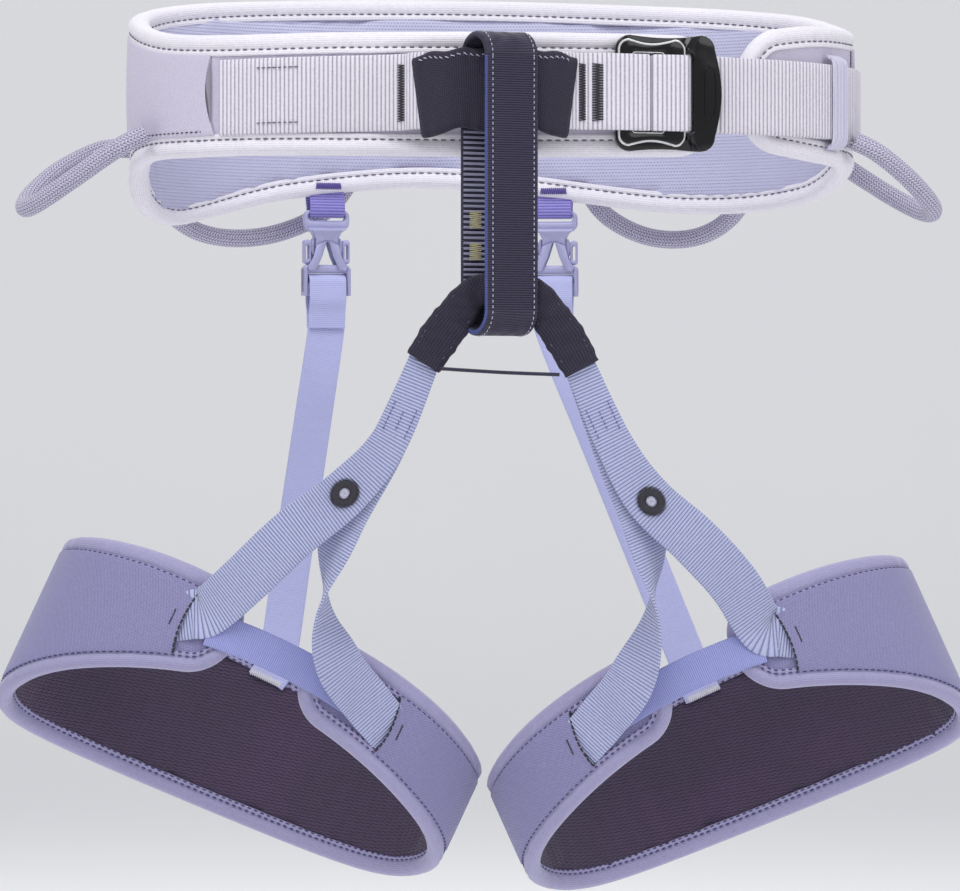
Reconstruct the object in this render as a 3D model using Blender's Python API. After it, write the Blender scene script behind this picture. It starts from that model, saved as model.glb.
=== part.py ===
"""A sit harness for climbing, built from its sewn, moulded and forged pieces.

Units are metres, +Z is up and the wearer faces -Y. The origin is the middle of the waist belt, level with
the middle of the waist webbing.
"""

import math

import bmesh
import bpy
from mathutils import Matrix, Vector

# Driving dimensions: the waist belt.
WAIST_HALF_WIDTH = 0.180
WAIST_HALF_DEPTH = 0.095
WAIST_SHIFT = 0.0025
WAIST_THICK = 0.0080
WAIST_WING_ENDS = (42.0, 398.0)
WAIST_END_RADIUS = 0.022
WAIST_STATIONS = 50
WAIST_LOW = ((42, -0.024), (60, -0.029), (90, -0.033), (115, -0.045), (145, -0.048), (188, -0.034),
             (215, -0.040), (245, -0.056), (262, -0.050), (280, -0.031), (310, -0.028), (360, -0.0305),
             (400, -0.029))
WAIST_HIGH = ((42, 0.031), (60, 0.037), (90, 0.040), (120, 0.052), (150, 0.060), (188, 0.0645),
              (230, 0.060), (270, 0.047), (300, 0.033), (340, 0.030), (400, 0.029))

# Driving dimensions: the leg loops. Angles run from the front, past the inner thigh, to the rear.
LEG_HALF_LENGTH = 0.1175
LEG_HALF_DEPTH = 0.068
LEG_CENTRES = {"left": Vector((-0.1204, 0.0, -0.3045)), "right": Vector((0.1190, 0.0, -0.3125))}
LEG_ROLLS = {"left": 24.9, "right": 24.2}
LEG_TILT = 0.027
LEG_BOW = 0.013
LEG_THICK = 0.0060
LEG_ENDS = (8.5, 351.0)
LEG_END_RADIUS = 0.018
LEG_STATIONS = 36
LEG_HALF_HEIGHT = ((8, 0.021), (45, 0.0245), (90, 0.0275), (135, 0.037), (180, 0.043), (225, 0.0445),
                   (270, 0.0435), (315, 0.033), (352, 0.021))

# Binding, webbing and gaps.
BINDING = 0.0075
BINDING_PROUD = 0.0010
CORNER_STEPS = 3
GAP = 0.0003
LAYER_GAP = 0.0005
FLAT_ENOUGH = 0.00001
EDGE_GAP = 0.0008
WAIST_WEB = 0.0365
WAIST_WEB_THICK = 0.0018
LEG_WEB = 0.0250
LEG_WEB_THICK = 0.0016
TWIST_STEPS = 6
LEG_PIECES = ("leg_lining", "leg_foam", "leg_shell", "leg_binding", "pocket_outer", "pocket_inner",
              "leg_webbing_outer", "leg_webbing_inner", "leg_link")
OUTER_ROUTES = {
    "left": ((-0.0290, -0.1118, -0.1272), (-0.0460, -0.1060, -0.1660), (-0.0665, -0.1000, -0.1900),
             (-0.0930, -0.0920, -0.2110)),
    "right": ((0.0440, -0.1118, -0.1302), (0.0610, -0.1060, -0.1680), (0.0770, -0.1000, -0.1930),
              (0.1000, -0.0920, -0.2140))}
INNER_ROUTES = {
    "left": ((-0.0290, -0.1092, -0.1272), (-0.0470, -0.1020, -0.1680), (-0.0690, -0.0920, -0.2060),
             (-0.0780, -0.0830, -0.2440)),
    "right": ((0.0440, -0.1092, -0.1302), (0.0600, -0.1020, -0.1710), (0.0760, -0.0920, -0.2090),
              (0.0800, -0.0830, -0.2470))}
LEG_AXES = {"left": Vector((-0.0290, -0.1122, -0.1262)), "right": Vector((0.0440, -0.1122, -0.1292))}
REAR_WEB = 0.0200
REAR_WEB_THICK = 0.0012

# The belay loop, which stands in front of the belt, turned a little about the vertical.
BELAY_AXIS = Vector((0.008, -0.1160, 0.0))
BELAY_TURN = 20.0
BELAY_WIDTH = 0.027
BELAY_THICK = 0.0035
BELAY_SPREAD = 0.025
BELAY_TOP = 0.0290
BELAY_BOTTOM = -0.1198

# The waist buckle, flat on the belt at this angle.
BUCKLE_ANGLE = 27.2
BUCKLE_HALF_HEIGHT = 0.0285
BUCKLE_LEFT = -0.0255
BUCKLE_RIGHT = 0.0255

# The rear side-release buckles.
REAR_ANGLES = {"left": 208.8, "right": 169.2}
REAR_BUCKLE_OUT = -0.004
RELEASE_HALF_WIDTH = 0.0123

# The braided gear loops.
GEAR_RADIUS = 0.0048
GEAR_ROOT = 0.0068
GEAR_ROOTS = {
    ("front", "left"): ((291, -0.015), (257, -0.021)),
    ("front", "right"): ((76, -0.024), (108, -0.025)),
    ("rear", "left"): ((245, -0.019), (203, -0.019)),
    ("rear", "right"): ((134, -0.019), (165, -0.019))}
FRONT_REACH = (0.0, 0.27, 0.64, 0.91, 1.0, 0.91, 0.64, 0.27, 0.0)
FRONT_TRAVEL = (0.0, 0.01, 0.14, 0.32, 0.50, 0.68, 0.86, 0.99, 1.0)
REAR_FALL = (0.0, 0.31, 0.67, 0.92, 1.0, 0.92, 0.67, 0.31, 0.0)
REAR_TRAVEL = (0.0, 0.02, 0.12, 0.30, 0.50, 0.70, 0.88, 0.98, 1.0)

COLOURS = {
    "lining_waist": ((0.52, 0.54, 0.74), 0.9, 0.0),
    "shell_waist": ((0.66, 0.60, 0.76), 0.8, 0.0),
    "binding_waist": ((0.82, 0.80, 0.84), 0.75, 0.0),
    "foam": ((0.75, 0.75, 0.78), 0.9, 0.0),
    "webbing_waist": ((0.80, 0.77, 0.86), 0.7, 0.0),
    "sleeve": ((0.045, 0.035, 0.065), 0.7, 0.0),
    "belay": ((0.045, 0.036, 0.085), 0.6, 0.0),
    "metal": ((0.02, 0.02, 0.022), 0.35, 1.0),
    "webbing_leg": ((0.40, 0.43, 0.78), 0.65, 0.0),
    "elastic": ((0.34, 0.36, 0.70), 0.65, 0.0),
    "plastic": ((0.38, 0.38, 0.60), 0.45, 0.0),
    "cord": ((0.47, 0.45, 0.60), 0.7, 0.0),
    "bridge_cord": ((0.05, 0.04, 0.08), 0.7, 0.0),
    "lining_leg": ((0.045, 0.035, 0.065), 0.9, 0.0),
    "shell_leg": ((0.27, 0.25, 0.48), 0.8, 0.0),
    "binding_leg": ((0.30, 0.28, 0.52), 0.75, 0.0),
    "mark": ((0.06, 0.07, 0.09), 0.8, 0.0),
}


def clear_scene():
    for thing in list(bpy.data.objects):
        bpy.data.objects.remove(thing, do_unlink=True)


def material_for(thing, key):
    colour, roughness, metallic = COLOURS[key]
    material = bpy.data.materials.new(thing.name)
    material.use_nodes = True
    shader = material.node_tree.nodes["Principled BSDF"]
    shader.inputs["Base Color"].default_value = (*colour, 1.0)
    shader.inputs["Roughness"].default_value = roughness
    shader.inputs["Metallic"].default_value = metallic
    thing.data.materials.append(material)


def unevenness(face):
    """How far a face's corners stand off its own plane, in metres."""
    middle = face.calc_center_median()
    return max(abs((corner.co - middle).dot(face.normal)) for corner in face.verts)


def object_from(name, mesh_maker, key):
    """A named object from a bmesh, its faces turned outwards, with its own material."""
    mesh_maker.normal_update()
    bmesh.ops.recalc_face_normals(mesh_maker, faces=mesh_maker.faces)
    twisted = [face for face in mesh_maker.faces if len(face.verts) == 4 and unevenness(face) > FLAT_ENOUGH]
    bmesh.ops.triangulate(mesh_maker, faces=twisted)
    mesh = bpy.data.meshes.new(name)
    mesh_maker.to_mesh(mesh)
    mesh_maker.free()
    thing = bpy.data.objects.new(name, mesh)
    bpy.context.scene.collection.objects.link(thing)
    material_for(thing, key)
    return thing


def skin(name, sections, key, closed=False):
    """A solid whose cross sections are joined in turn, with flat ends unless it closes on itself."""
    shape = bmesh.new()
    rings = [[shape.verts.new(point) for point in section] for section in sections]
    following = rings[1:] + rings[:1] if closed else rings[1:]
    for ring, after in zip(rings, following):
        for i in range(len(ring)):
            j = (i + 1) % len(ring)
            shape.faces.new((ring[i], ring[j], after[j], after[i]))
    if not closed:
        shape.faces.new(rings[0])
        shape.faces.new(rings[-1])
    return object_from(name, shape, key)


def eased(keys, at):
    """A smooth curve through (place, value) pairs, read at one place."""
    last = len(keys) - 1
    index = 0
    while index < last - 1 and at > keys[index + 1][0]:
        index += 1

    def slope(i):
        before, after = keys[max(i - 1, 0)], keys[min(i + 1, last)]
        return (after[1] - before[1]) / (after[0] - before[0])

    (x0, y0), (x1, y1) = keys[index], keys[index + 1]
    span = x1 - x0
    f = min(max((at - x0) / span, 0.0), 1.0)
    rise, fall = f * f * (3 - 2 * f), 1 - f
    return (y0 * (1 - rise) + y1 * rise + slope(index) * span * f * fall * fall
            - slope(index + 1) * span * f * f * fall)


def curve_through(points, steps):
    """Points on a smooth curve through the given vectors, with this many steps between each pair."""
    result = []
    last = len(points) - 1
    for i in range(last):
        before, start = points[max(i - 1, 0)], points[i]
        end, after = points[i + 1], points[min(i + 2, last)]
        for step in range(steps):
            f = step / steps
            result.append(0.5 * (2 * start + (end - before) * f
                                 + (2 * before - 5 * start + 4 * end - after) * f ** 2
                                 + (3 * start - before - 3 * end + after) * f ** 3))
    return result + [points[-1].copy()]


class Oval:
    """An oval path. An angle of 0 is at the front and 90 is at the end that `along` points to."""

    def __init__(self, centre, along, up, half_length, half_depth, lift=None):
        self.centre, self.along, self.up = centre, along, up
        self.across = Vector((0, 1, 0))
        self.a, self.b = half_length, half_depth
        self.lift = lift or (lambda angle: 0.0)

    def out(self, angle):
        turn = math.radians(angle)
        way = self.along * (math.sin(turn) / self.a) - self.across * (math.cos(turn) / self.b)
        return way.normalized()

    def tangent(self, angle):
        turn = math.radians(angle)
        way = self.along * (math.cos(turn) * self.a) + self.across * (math.sin(turn) * self.b)
        return way.normalized()

    def pace(self, angle):
        """Metres of path for each degree."""
        turn = math.radians(angle)
        return math.radians(math.hypot(self.a * math.cos(turn), self.b * math.sin(turn)))

    def at(self, angle, out=0.0, height=0.0):
        turn = math.radians(angle)
        base = self.along * (self.a * math.sin(turn)) - self.across * (self.b * math.cos(turn))
        return self.centre + base + self.out(angle) * out + self.up * (height + self.lift(angle))


def leg_lift(angle):
    lean = math.cos(math.radians(angle))
    return LEG_TILT * lean + LEG_BOW * lean * lean


def leg_oval(side):
    roll = math.radians(LEG_ROLLS[side])
    inward = 1 if side == "left" else -1
    along = Vector((inward * math.cos(roll), 0, -math.sin(roll)))
    up = Vector((inward * math.sin(roll), 0, math.cos(roll)))
    return Oval(LEG_CENTRES[side], along, up, LEG_HALF_LENGTH, LEG_HALF_DEPTH, leg_lift)


WAIST = Oval(Vector((WAIST_SHIFT, 0, 0)), Vector((1, 0, 0)), Vector((0, 0, 1)), WAIST_HALF_WIDTH,
             WAIST_HALF_DEPTH)
LEGS = {side: leg_oval(side) for side in ("left", "right")}


class Outline:
    """The outline of a band along an oval: its ends, its two long edges and its corner radius."""

    def __init__(self, oval, ends, low, high, radius, stations):
        self.oval, self.ends, self.low, self.high = oval, ends, low, high
        self.radius, self.stations = radius, stations

    def edges(self, inset):
        """(angle, low, high) at each station of the outline drawn in by `inset`."""
        start, end = self.ends
        radius = self.radius - inset
        first = start + inset / self.oval.pace(start)
        last = end - inset / self.oval.pace(end)
        corner = []
        for k in range(CORNER_STEPS + 1):
            turn = k * math.pi / 2 / CORNER_STEPS
            corner.append((radius * (1 - math.cos(turn)), radius * (1 - math.sin(turn))))
        rows = [(first + along / self.oval.pace(first), drop) for along, drop in corner]
        stop = last - radius / self.oval.pace(last)
        begin = rows[-1][0]
        rows += [(begin + (stop - begin) * k / self.stations, 0.0) for k in range(1, self.stations)]
        rows += [(last - along / self.oval.pace(last), drop) for along, drop in reversed(corner)]
        return [(angle, self.low(angle) + inset + drop, self.high(angle) - inset - drop)
                for angle, drop in rows]

    def loop(self, inset, out):
        rows = self.edges(inset)
        below = [self.oval.at(angle, out, low) for angle, low, high in rows]
        above = [self.oval.at(angle, out, high) for angle, low, high in reversed(rows)]
        return below + above

    def slab(self, name, inset, inner, outer, key):
        sections = []
        for angle, low, high in self.edges(inset):
            corners = ((inner, low), (outer, low), (outer, high), (inner, high))
            sections.append([self.oval.at(angle, out, height) for out, height in corners])
        return skin(name, sections, key)

    def ring(self, name, width, inner, outer, key):
        """The rolled binding round the whole outline."""
        middle = (inner + outer) / 2
        rims = [self.loop(width, inner), self.loop(width * 0.3, inner), self.loop(0.0, middle),
                self.loop(width * 0.3, outer), self.loop(width, outer)]
        return skin(name, [list(section) for section in zip(*rims)], key, closed=True)


WAIST_OUTLINE = Outline(WAIST, WAIST_WING_ENDS, lambda angle: eased(WAIST_LOW, angle),
                        lambda angle: eased(WAIST_HIGH, angle), WAIST_END_RADIUS, WAIST_STATIONS)
LEG_OUTLINES = {side: Outline(LEGS[side], LEG_ENDS, lambda angle: -eased(LEG_HALF_HEIGHT, angle),
                              lambda angle: eased(LEG_HALF_HEIGHT, angle), LEG_END_RADIUS, LEG_STATIONS)
                for side in LEGS}


def patch(name, oval, span, low, high, inner, outer, key, steps):
    """A flat piece laid along an oval between two angles."""
    sections = []
    for k in range(steps + 1):
        angle = span[0] + (span[1] - span[0]) * k / steps
        corners = ((inner, low(angle)), (outer, low(angle)), (outer, high(angle)), (inner, high(angle)))
        sections.append([oval.at(angle, out, height) for out, height in corners])
    return skin(name, sections, key)


def ribbon(name, centres, faces, width, thick, key, steps=4):
    """Webbing along a smooth curve. `faces` holds the way that one side looks at each point."""
    path = curve_through(centres, steps)
    looks = [look.normalized() for look in curve_through(faces, steps)]
    count = len(path)
    sections = []
    for i, (middle, look) in enumerate(zip(path, looks)):
        way = (path[min(i + 1, count - 1)] - path[max(i - 1, 0)]).normalized()
        side = way.cross(look).normalized()
        look = side.cross(way)
        half = (width(i / (count - 1)) if callable(width) else width) / 2
        corners = ((-half, -thick / 2), (half, -thick / 2), (half, thick / 2), (-half, thick / 2))
        sections.append([middle + side * x + look * y for x, y in corners])
    return skin(name, sections, key)


def tube(name, points, radius, key, resolution=2):
    """A round cord: a curve with a bevel and filled caps, made a mesh."""
    curve = bpy.data.curves.new(name, "CURVE")
    curve.dimensions = "3D"
    curve.bevel_depth = radius
    curve.bevel_resolution = resolution
    curve.use_fill_caps = True
    spline = curve.splines.new("POLY")
    spline.points.add(len(points) - 1)
    for slot, point in zip(spline.points, points):
        slot.co = (*point, 1.0)
    thing = bpy.data.objects.new(name, curve)
    bpy.context.scene.collection.objects.link(thing)
    material_for(thing, key)
    return thing


def block(name, frame, low, high, key, bevel=0.0):
    """A box between two corners given in a frame, its edges bevelled."""
    shape = bmesh.new()
    bmesh.ops.create_cube(shape, size=1.0)
    size = Vector(high) - Vector(low)
    middle = (Vector(high) + Vector(low)) / 2
    bmesh.ops.transform(shape, matrix=Matrix.Translation(middle) @ Matrix.Diagonal((*size, 1)),
                        verts=shape.verts)
    if bevel:
        bmesh.ops.bevel(shape, geom=shape.edges[:], offset=bevel, segments=1, affect="EDGES")
    bmesh.ops.transform(shape, matrix=frame, verts=shape.verts)
    return object_from(name, shape, key)


def carved(thing, cutters, operation="DIFFERENCE"):
    """Takes hidden helper solids from a piece, or adds them to it."""
    for cutter in cutters:
        cutter.hide_render = True
        cutter.display_type = "WIRE"
        cut = thing.modifiers.new(operation.title(), "BOOLEAN")
        cut.operation = operation
        cut.object = cutter
    return thing


def moved_origin(thing, place):
    """Puts a piece's origin on its joint's axis and leaves its shape where it is."""
    thing.data.transform(Matrix.Translation(-place))
    thing.location = place
    return thing


def settle_origins():
    """Puts the origin of every piece that moves on the axis that it moves about or along."""
    places = {"belay_loop": BELAY_AXIS, "buckle_slider": WAIST.at(BUCKLE_ANGLE)}
    for side in ("left", "right"):
        for piece in LEG_PIECES:
            places[f"{piece}_{side}"] = LEG_AXES[side]
        for end in ("front", "rear"):
            places[f"gear_loop_{end}_{side}"] = gear_axis(end, side)
        for piece in ("rear_buckle_socket", "rear_strap_turn"):
            places[f"{piece}_{side}"] = WAIST.at(REAR_ANGLES[side], REAR_BUCKLE_OUT)
    for name, place in places.items():
        moved_origin(bpy.data.objects[name], place)


def frame_on_waist(angle, out):
    """A frame on the belt: X along it, Y out of it and Z up."""
    oval = WAIST
    frame = Matrix((oval.tangent(angle), oval.out(angle), Vector((0, 0, 1)))).transposed().to_4x4()
    frame.translation = oval.at(angle, out)
    return frame


def waist_belt():
    thick = WAIST_THICK
    layers = (("waist_lining", -thick, -thick + 0.0015, "lining_waist"),
              ("waist_foam", -thick + 0.0018, -0.0013, "foam"),
              ("waist_shell", -0.0010, 0.0, "shell_waist"))
    for name, inner, outer, key in layers:
        WAIST_OUTLINE.slab(name, BINDING + EDGE_GAP, inner, outer, key)
    WAIST_OUTLINE.ring("waist_binding", BINDING, -thick - BINDING_PROUD, BINDING_PROUD, "binding_waist")
    margin = BINDING + 0.003
    for side, span in (("left", (252, 312)), ("right", (83, 116))):
        patch(f"hip_panel_{side}", WAIST, span, lambda angle: max(-0.0185, WAIST_OUTLINE.low(angle) + margin),
              lambda angle: WAIST_OUTLINE.high(angle) - margin, LAYER_GAP, 0.0016, "shell_waist", 12)


def on_buckle(frame, along, out):
    return frame @ Vector((along, out, 0))


def plan_ribbon(name, points, height, thick, key, steps=4):
    """Webbing that stands on edge: its path lies level and its width is upright."""
    path = curve_through(points, steps)
    count = len(path)
    sections = []
    for i, middle in enumerate(path):
        way = (path[min(i + 1, count - 1)] - path[max(i - 1, 0)]).normalized()
        side = Vector((way.y, -way.x, 0)).normalized() * (thick / 2)
        low, high = (value(middle) for value in height)
        corners = ((-side, low), (side, low), (side, high), (-side, high))
        sections.append([middle + offset + Vector((0, 0, z)) for offset, z in corners])
    return skin(name, sections, key)


def waist_webbing():
    """The webbing from the hip pocket to the tie-in sleeve, and from there round the buckle's bar."""
    half = WAIST_WEB / 2
    height = (lambda middle: -half, lambda middle: half)
    lift = LAYER_GAP + WAIST_WEB_THICK / 2
    points = [WAIST.at(angle, lift) for angle in (312.8, 320, 328, 336, 342)]
    points += [WAIST.at(346.5, 0.0055), Vector((-0.0358, -0.1030, 0))]
    plan_ribbon("waist_webbing_left", points, height, WAIST_WEB_THICK, "webbing_waist", 3)
    frame = frame_on_waist(BUCKLE_ANGLE, 0)
    route = ((-0.0375, 0.0088), (-0.0320, 0.0098), (-0.0240, 0.0100), (-0.0160, 0.0100), (-0.0115, 0.0098),
             (-0.0098, 0.0080), (-0.0098, 0.0040), (-0.0118, 0.0014), (-0.0170, 0.0012), (-0.0240, 0.0008))
    points = [Vector((0.0436, -0.1030, 0))] + [on_buckle(frame, *place) for place in route]
    plan_ribbon("waist_webbing_right", points, height, WAIST_WEB_THICK, "webbing_waist", 3)
    route = ((-0.0010, 0.0016), (-0.0062, 0.0016), (-0.0076, 0.0030), (-0.0076, 0.0080), (-0.0060, 0.0098),
             (0.0000, 0.0100), (0.0076, 0.0098), (0.0102, 0.0084), (0.0108, 0.0064), (0.0126, 0.0050),
             (0.0190, 0.0048), (0.0280, 0.0052))
    under = [WAIST.at(angle, out) for angle, out in ((82.2, 0.0015), (74, 0.0015), (66, 0.0015), (58, 0.0018),
                                                     (50, 0.0025), (42, 0.0026), (36, 0.0025), (31, 0.0018))]
    tail = [WAIST.at(angle, out) for angle, out in ((40, 0.0056), (48, 0.0054), (56, 0.0050), (64, 0.0046),
                                                    (72, 0.0042), (80, 0.0040), (87, 0.0040))]
    points = under + [on_buckle(frame, *place) for place in route] + tail
    plan_ribbon("waist_strap", points, height, WAIST_WEB_THICK, "webbing_waist", 2)


def tie_in_sleeve():
    front = BELAY_AXIS.y
    centres = ((-0.0345, -0.1040), (-0.0270, -0.1100), (-0.0180, front + 0.0004), (-0.0060, front),
               (0.0080, front), (0.0220, front), (0.0340, -0.1110), (0.0424, -0.1040))
    points = [Vector((x, y, 0)) for x, y in centres]
    low = lambda middle: -0.0205
    high = lambda middle: 0.0190 - 2.0 * (middle.x - 0.004) ** 2
    plan_ribbon("waist_tie_in_sleeve", points, (low, high), 0.0050, "sleeve", 2)


def belt_keepers():
    """The elastic keeper that holds the strap's tail, and a smaller one on the belt's rear top edge."""
    angles = (66.5, 72.0)
    shape = []
    for k in range(5):
        angle = angles[0] + (angles[1] - angles[0]) * k / 4
        inner, outer, half = 0.0064, 0.0076, 0.0232
        shape.append([WAIST.at(angle, out, height) for out, height in
                      ((0.0019, -half), (inner, -0.0196), (inner, 0.0196), (0.0019, half),
                       (0.0031, half + 0.0006), (outer, 0.0206), (outer, -0.0206), (0.0031, -half - 0.0006))])
    skin("belt_keeper", shape, "elastic")
    patch("rear_keeper", WAIST, (122, 131), lambda angle: WAIST_OUTLINE.high(angle) - 0.016,
          lambda angle: WAIST_OUTLINE.high(angle) - 0.001, 0.0016, 0.0027, "elastic", 4)


def outline_plate(name, frame, points, out, thick, key):
    """A flat plate of the given outline, extruded outwards."""
    shape = bmesh.new()
    ring = [shape.verts.new((x, out, z)) for x, z in points]
    face = shape.faces.new(ring)
    grown = bmesh.ops.extrude_face_region(shape, geom=[face])["geom"]
    corners = [part for part in grown if isinstance(part, bmesh.types.BMVert)]
    bmesh.ops.translate(shape, vec=(0, thick, 0), verts=corners)
    bmesh.ops.transform(shape, matrix=frame, verts=shape.verts)
    return object_from(name, shape, key)


def rounded_outline(left, right, half, radius, bulge=0.0, steps=4):
    """A rectangle with round corners, whose right side may bulge."""
    points = []
    corners = ((right - radius, half - radius, 0), (left + radius, half - radius, 90),
               (left + radius, radius - half, 180), (right - radius, radius - half, 270))
    for x, z, start in corners:
        for k in range(steps + 1):
            turn = math.radians(start + 90 * k / steps)
            points.append((x + radius * math.cos(turn), z + radius * math.sin(turn)))
    if bulge:
        count = 7
        for k in range(1, count):
            f = -1 + 2 * k / count
            points.append((right + bulge * (1 - f * f), f * (half - radius)))
    return points


def waist_buckle():
    frame = frame_on_waist(BUCKLE_ANGLE, 0)
    rail_out, rail_thick = 0.0027, 0.0033
    half = BUCKLE_HALF_HEIGHT
    plate = outline_plate("buckle_frame", frame, rounded_outline(BUCKLE_LEFT, 0.0200, half - 0.001, 0.005),
                          rail_out, rail_thick, "metal")
    bar = outline_plate("buckle_frame_bar", frame, rounded_outline(0.0124, 0.0215, half, 0.006, 0.004),
                        rail_out + 0.0005, 0.0078, "metal")
    window = block("buckle_frame_window", frame, (-0.0195, -0.002, -0.0195), (0.0124, 0.02, 0.0195), "metal")
    tunnel = block("buckle_frame_tunnel", frame, (0.0100, -0.002, -0.0195), (0.0300, 0.0062, 0.0195), "metal")
    carved(plate, (bar,), "UNION")
    carved(plate, (window, tunnel))
    slider = outline_plate("buckle_slider", frame, rounded_outline(-0.0252, 0.0080, 0.0257, 0.0045), 0.0064,
                           0.0022, "metal")
    slot = block("buckle_slider_window", frame, (-0.0185, -0.002, -0.0195), (-0.0020, 0.02, 0.0195), "metal")
    carved(slider, (slot,))


def belay_loop():
    """One long loop of webbing, two strands apart, closed over the waist sleeve and under the leg sleeve."""
    turn = math.radians(BELAY_TURN)
    side = Vector((math.cos(turn), math.sin(turn), 0))
    depth = Vector((-math.sin(turn), math.cos(turn), 0))
    radius = BELAY_SPREAD / 2
    top, bottom = BELAY_TOP - radius, BELAY_BOTTOM + radius
    middle = BELAY_THICK / 2
    route = []
    for centre, start in ((top, 0), (bottom, 180)):
        for k in range(9):
            angle = math.radians(start + 180 * k / 8)
            route.append((math.cos(angle), centre, math.sin(angle)))
    sections = []
    for across, centre, rise in route:
        ring = []
        for reach in (radius - 2 * middle, radius):
            place = depth * (-across * reach) + Vector((0, 0, centre + rise * reach))
            ring.append(BELAY_AXIS + place)
        inner, outer = ring
        half = side * (BELAY_WIDTH / 2)
        sections.append([inner - half, outer - half, outer + half, inner + half])
    skin("belay_loop", sections, "belay", closed=True)


def leg_sleeve():
    """The sleeved webbing that carries both leg loops, an arch through the bottom of the belay loop."""
    front = BELAY_AXIS.y
    places = ((-0.0276, -0.1120, -0.1246), (-0.0160, -0.1158, -0.1090), (-0.0055, front, -0.0952),
              (0.0080, front, -0.0938), (0.0215, front, -0.0952), (0.0320, -0.1135, -0.1100),
              (0.0435, -0.1100, -0.1270))
    points = [Vector(place) for place in places]
    looks = [Vector((0, -1, 0))] * len(points)
    ends = lambda f: 0.0142 + 0.0075 * abs(2 * f - 1) ** 1.6
    ribbon("leg_tie_in_sleeve", points, looks, ends, 0.0040, "sleeve", 3)
    tube("leg_bridge_cord", [Vector((-0.0215, -0.1158, -0.1318)), Vector((0.0080, -0.1152, -0.1336)),
                             Vector((0.0345, -0.1146, -0.1346))], 0.0010, "bridge_cord", 1)


def gear_axis(end, side):
    """The root that a gear loop swings about."""
    angle, height = GEAR_ROOTS[end, side][0]
    return WAIST.at(angle, GEAR_ROOT, height)


def gear_loops():
    """Two loops that stand out at the hips and two that hang at the back."""
    for side, reach, fall in (("left", -0.062, -0.032), ("right", 0.047, -0.026)):
        first, last = (WAIST.at(angle, GEAR_ROOT, height) for angle, height in GEAR_ROOTS["front", side])
        points = [first.lerp(last, f) + Vector((reach * x, 0, fall * x ** 1.2))
                  for x, f in zip(FRONT_REACH, FRONT_TRAVEL)]
        tube(f"gear_loop_front_{side}", curve_through(points, 4), GEAR_RADIUS, "cord", 1)
    for side in ("left", "right"):
        (start, top), (end, _) = GEAR_ROOTS["rear", side]
        points = [WAIST.at(start + (end - start) * f, GEAR_ROOT + 0.012 * x, top - 0.041 * x)
                  for x, f in zip(REAR_FALL, REAR_TRAVEL)]
        tube(f"gear_loop_rear_{side}", curve_through(points, 4), GEAR_RADIUS, "cord", 1)
        for name, angle in (("outer", start), ("inner", end)):
            patch(f"gear_tab_{name}_{side}", WAIST, (angle - 2.5, angle + 2.5), lambda at: -0.024,
                  lambda at: -0.008, LAYER_GAP, 0.0017, "elastic", 2)


def release_buckle(side):
    """A side-release buckle: the anchor and its guide, two arms that squeeze in, and the socket."""
    angle = REAR_ANGLES[side]
    frame = frame_on_waist(angle, REAR_BUCKLE_OUT)
    wide = RELEASE_HALF_WIDTH
    anchor = block(f"rear_buckle_anchor_{side}", frame, (-wide, -0.0026, -0.0575), (wide, 0.0026, -0.0455),
                   "plastic", 0.0008)
    slot = block(f"anchor_slot_{side}", frame, (-0.0105, -0.01, -0.0515), (0.0105, 0.01, -0.0480), "plastic")
    guide = block(f"anchor_guide_{side}", frame, (-0.0020, -0.0020, -0.0760), (0.0020, 0.0020, -0.0570),
                  "plastic")
    carved(anchor, (slot,))
    carved(anchor, (guide,), "UNION")
    for name, sign in (("near", -1), ("far", 1)):
        x0, x1 = sorted((sign * 0.0063, sign * 0.0092))
        arm = block(f"rear_buckle_arm_{name}_{side}", frame, (x0, -0.0022, -0.0780), (x1, 0.0022, -0.0582),
                    "plastic", 0.0005)
        moved_origin(arm, frame @ Vector((sign * 0.0078, 0, -0.0590)))
    socket = block(f"rear_buckle_socket_{side}", frame, (-wide, -0.0043, -0.0900), (wide, 0.0043, -0.0640),
                   "plastic", 0.0010)
    cavity = block(f"socket_cavity_{side}", frame, (-0.0104, -0.0028, -0.0808), (0.0104, 0.0028, -0.0600),
                   "plastic")
    slot = block(f"socket_slot_{side}", frame, (-0.0105, -0.01, -0.0868), (0.0105, 0.01, -0.0838), "plastic")
    windows = [block(f"socket_window_{end}_{side}", frame, (x0, -0.0018, -0.0760), (x1, 0.0018, -0.0690),
                     "plastic") for end, x0, x1 in (("near", -0.02, -0.008), ("far", 0.008, 0.02))]
    carved(socket, (cavity, slot, *windows))
    return frame


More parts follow.
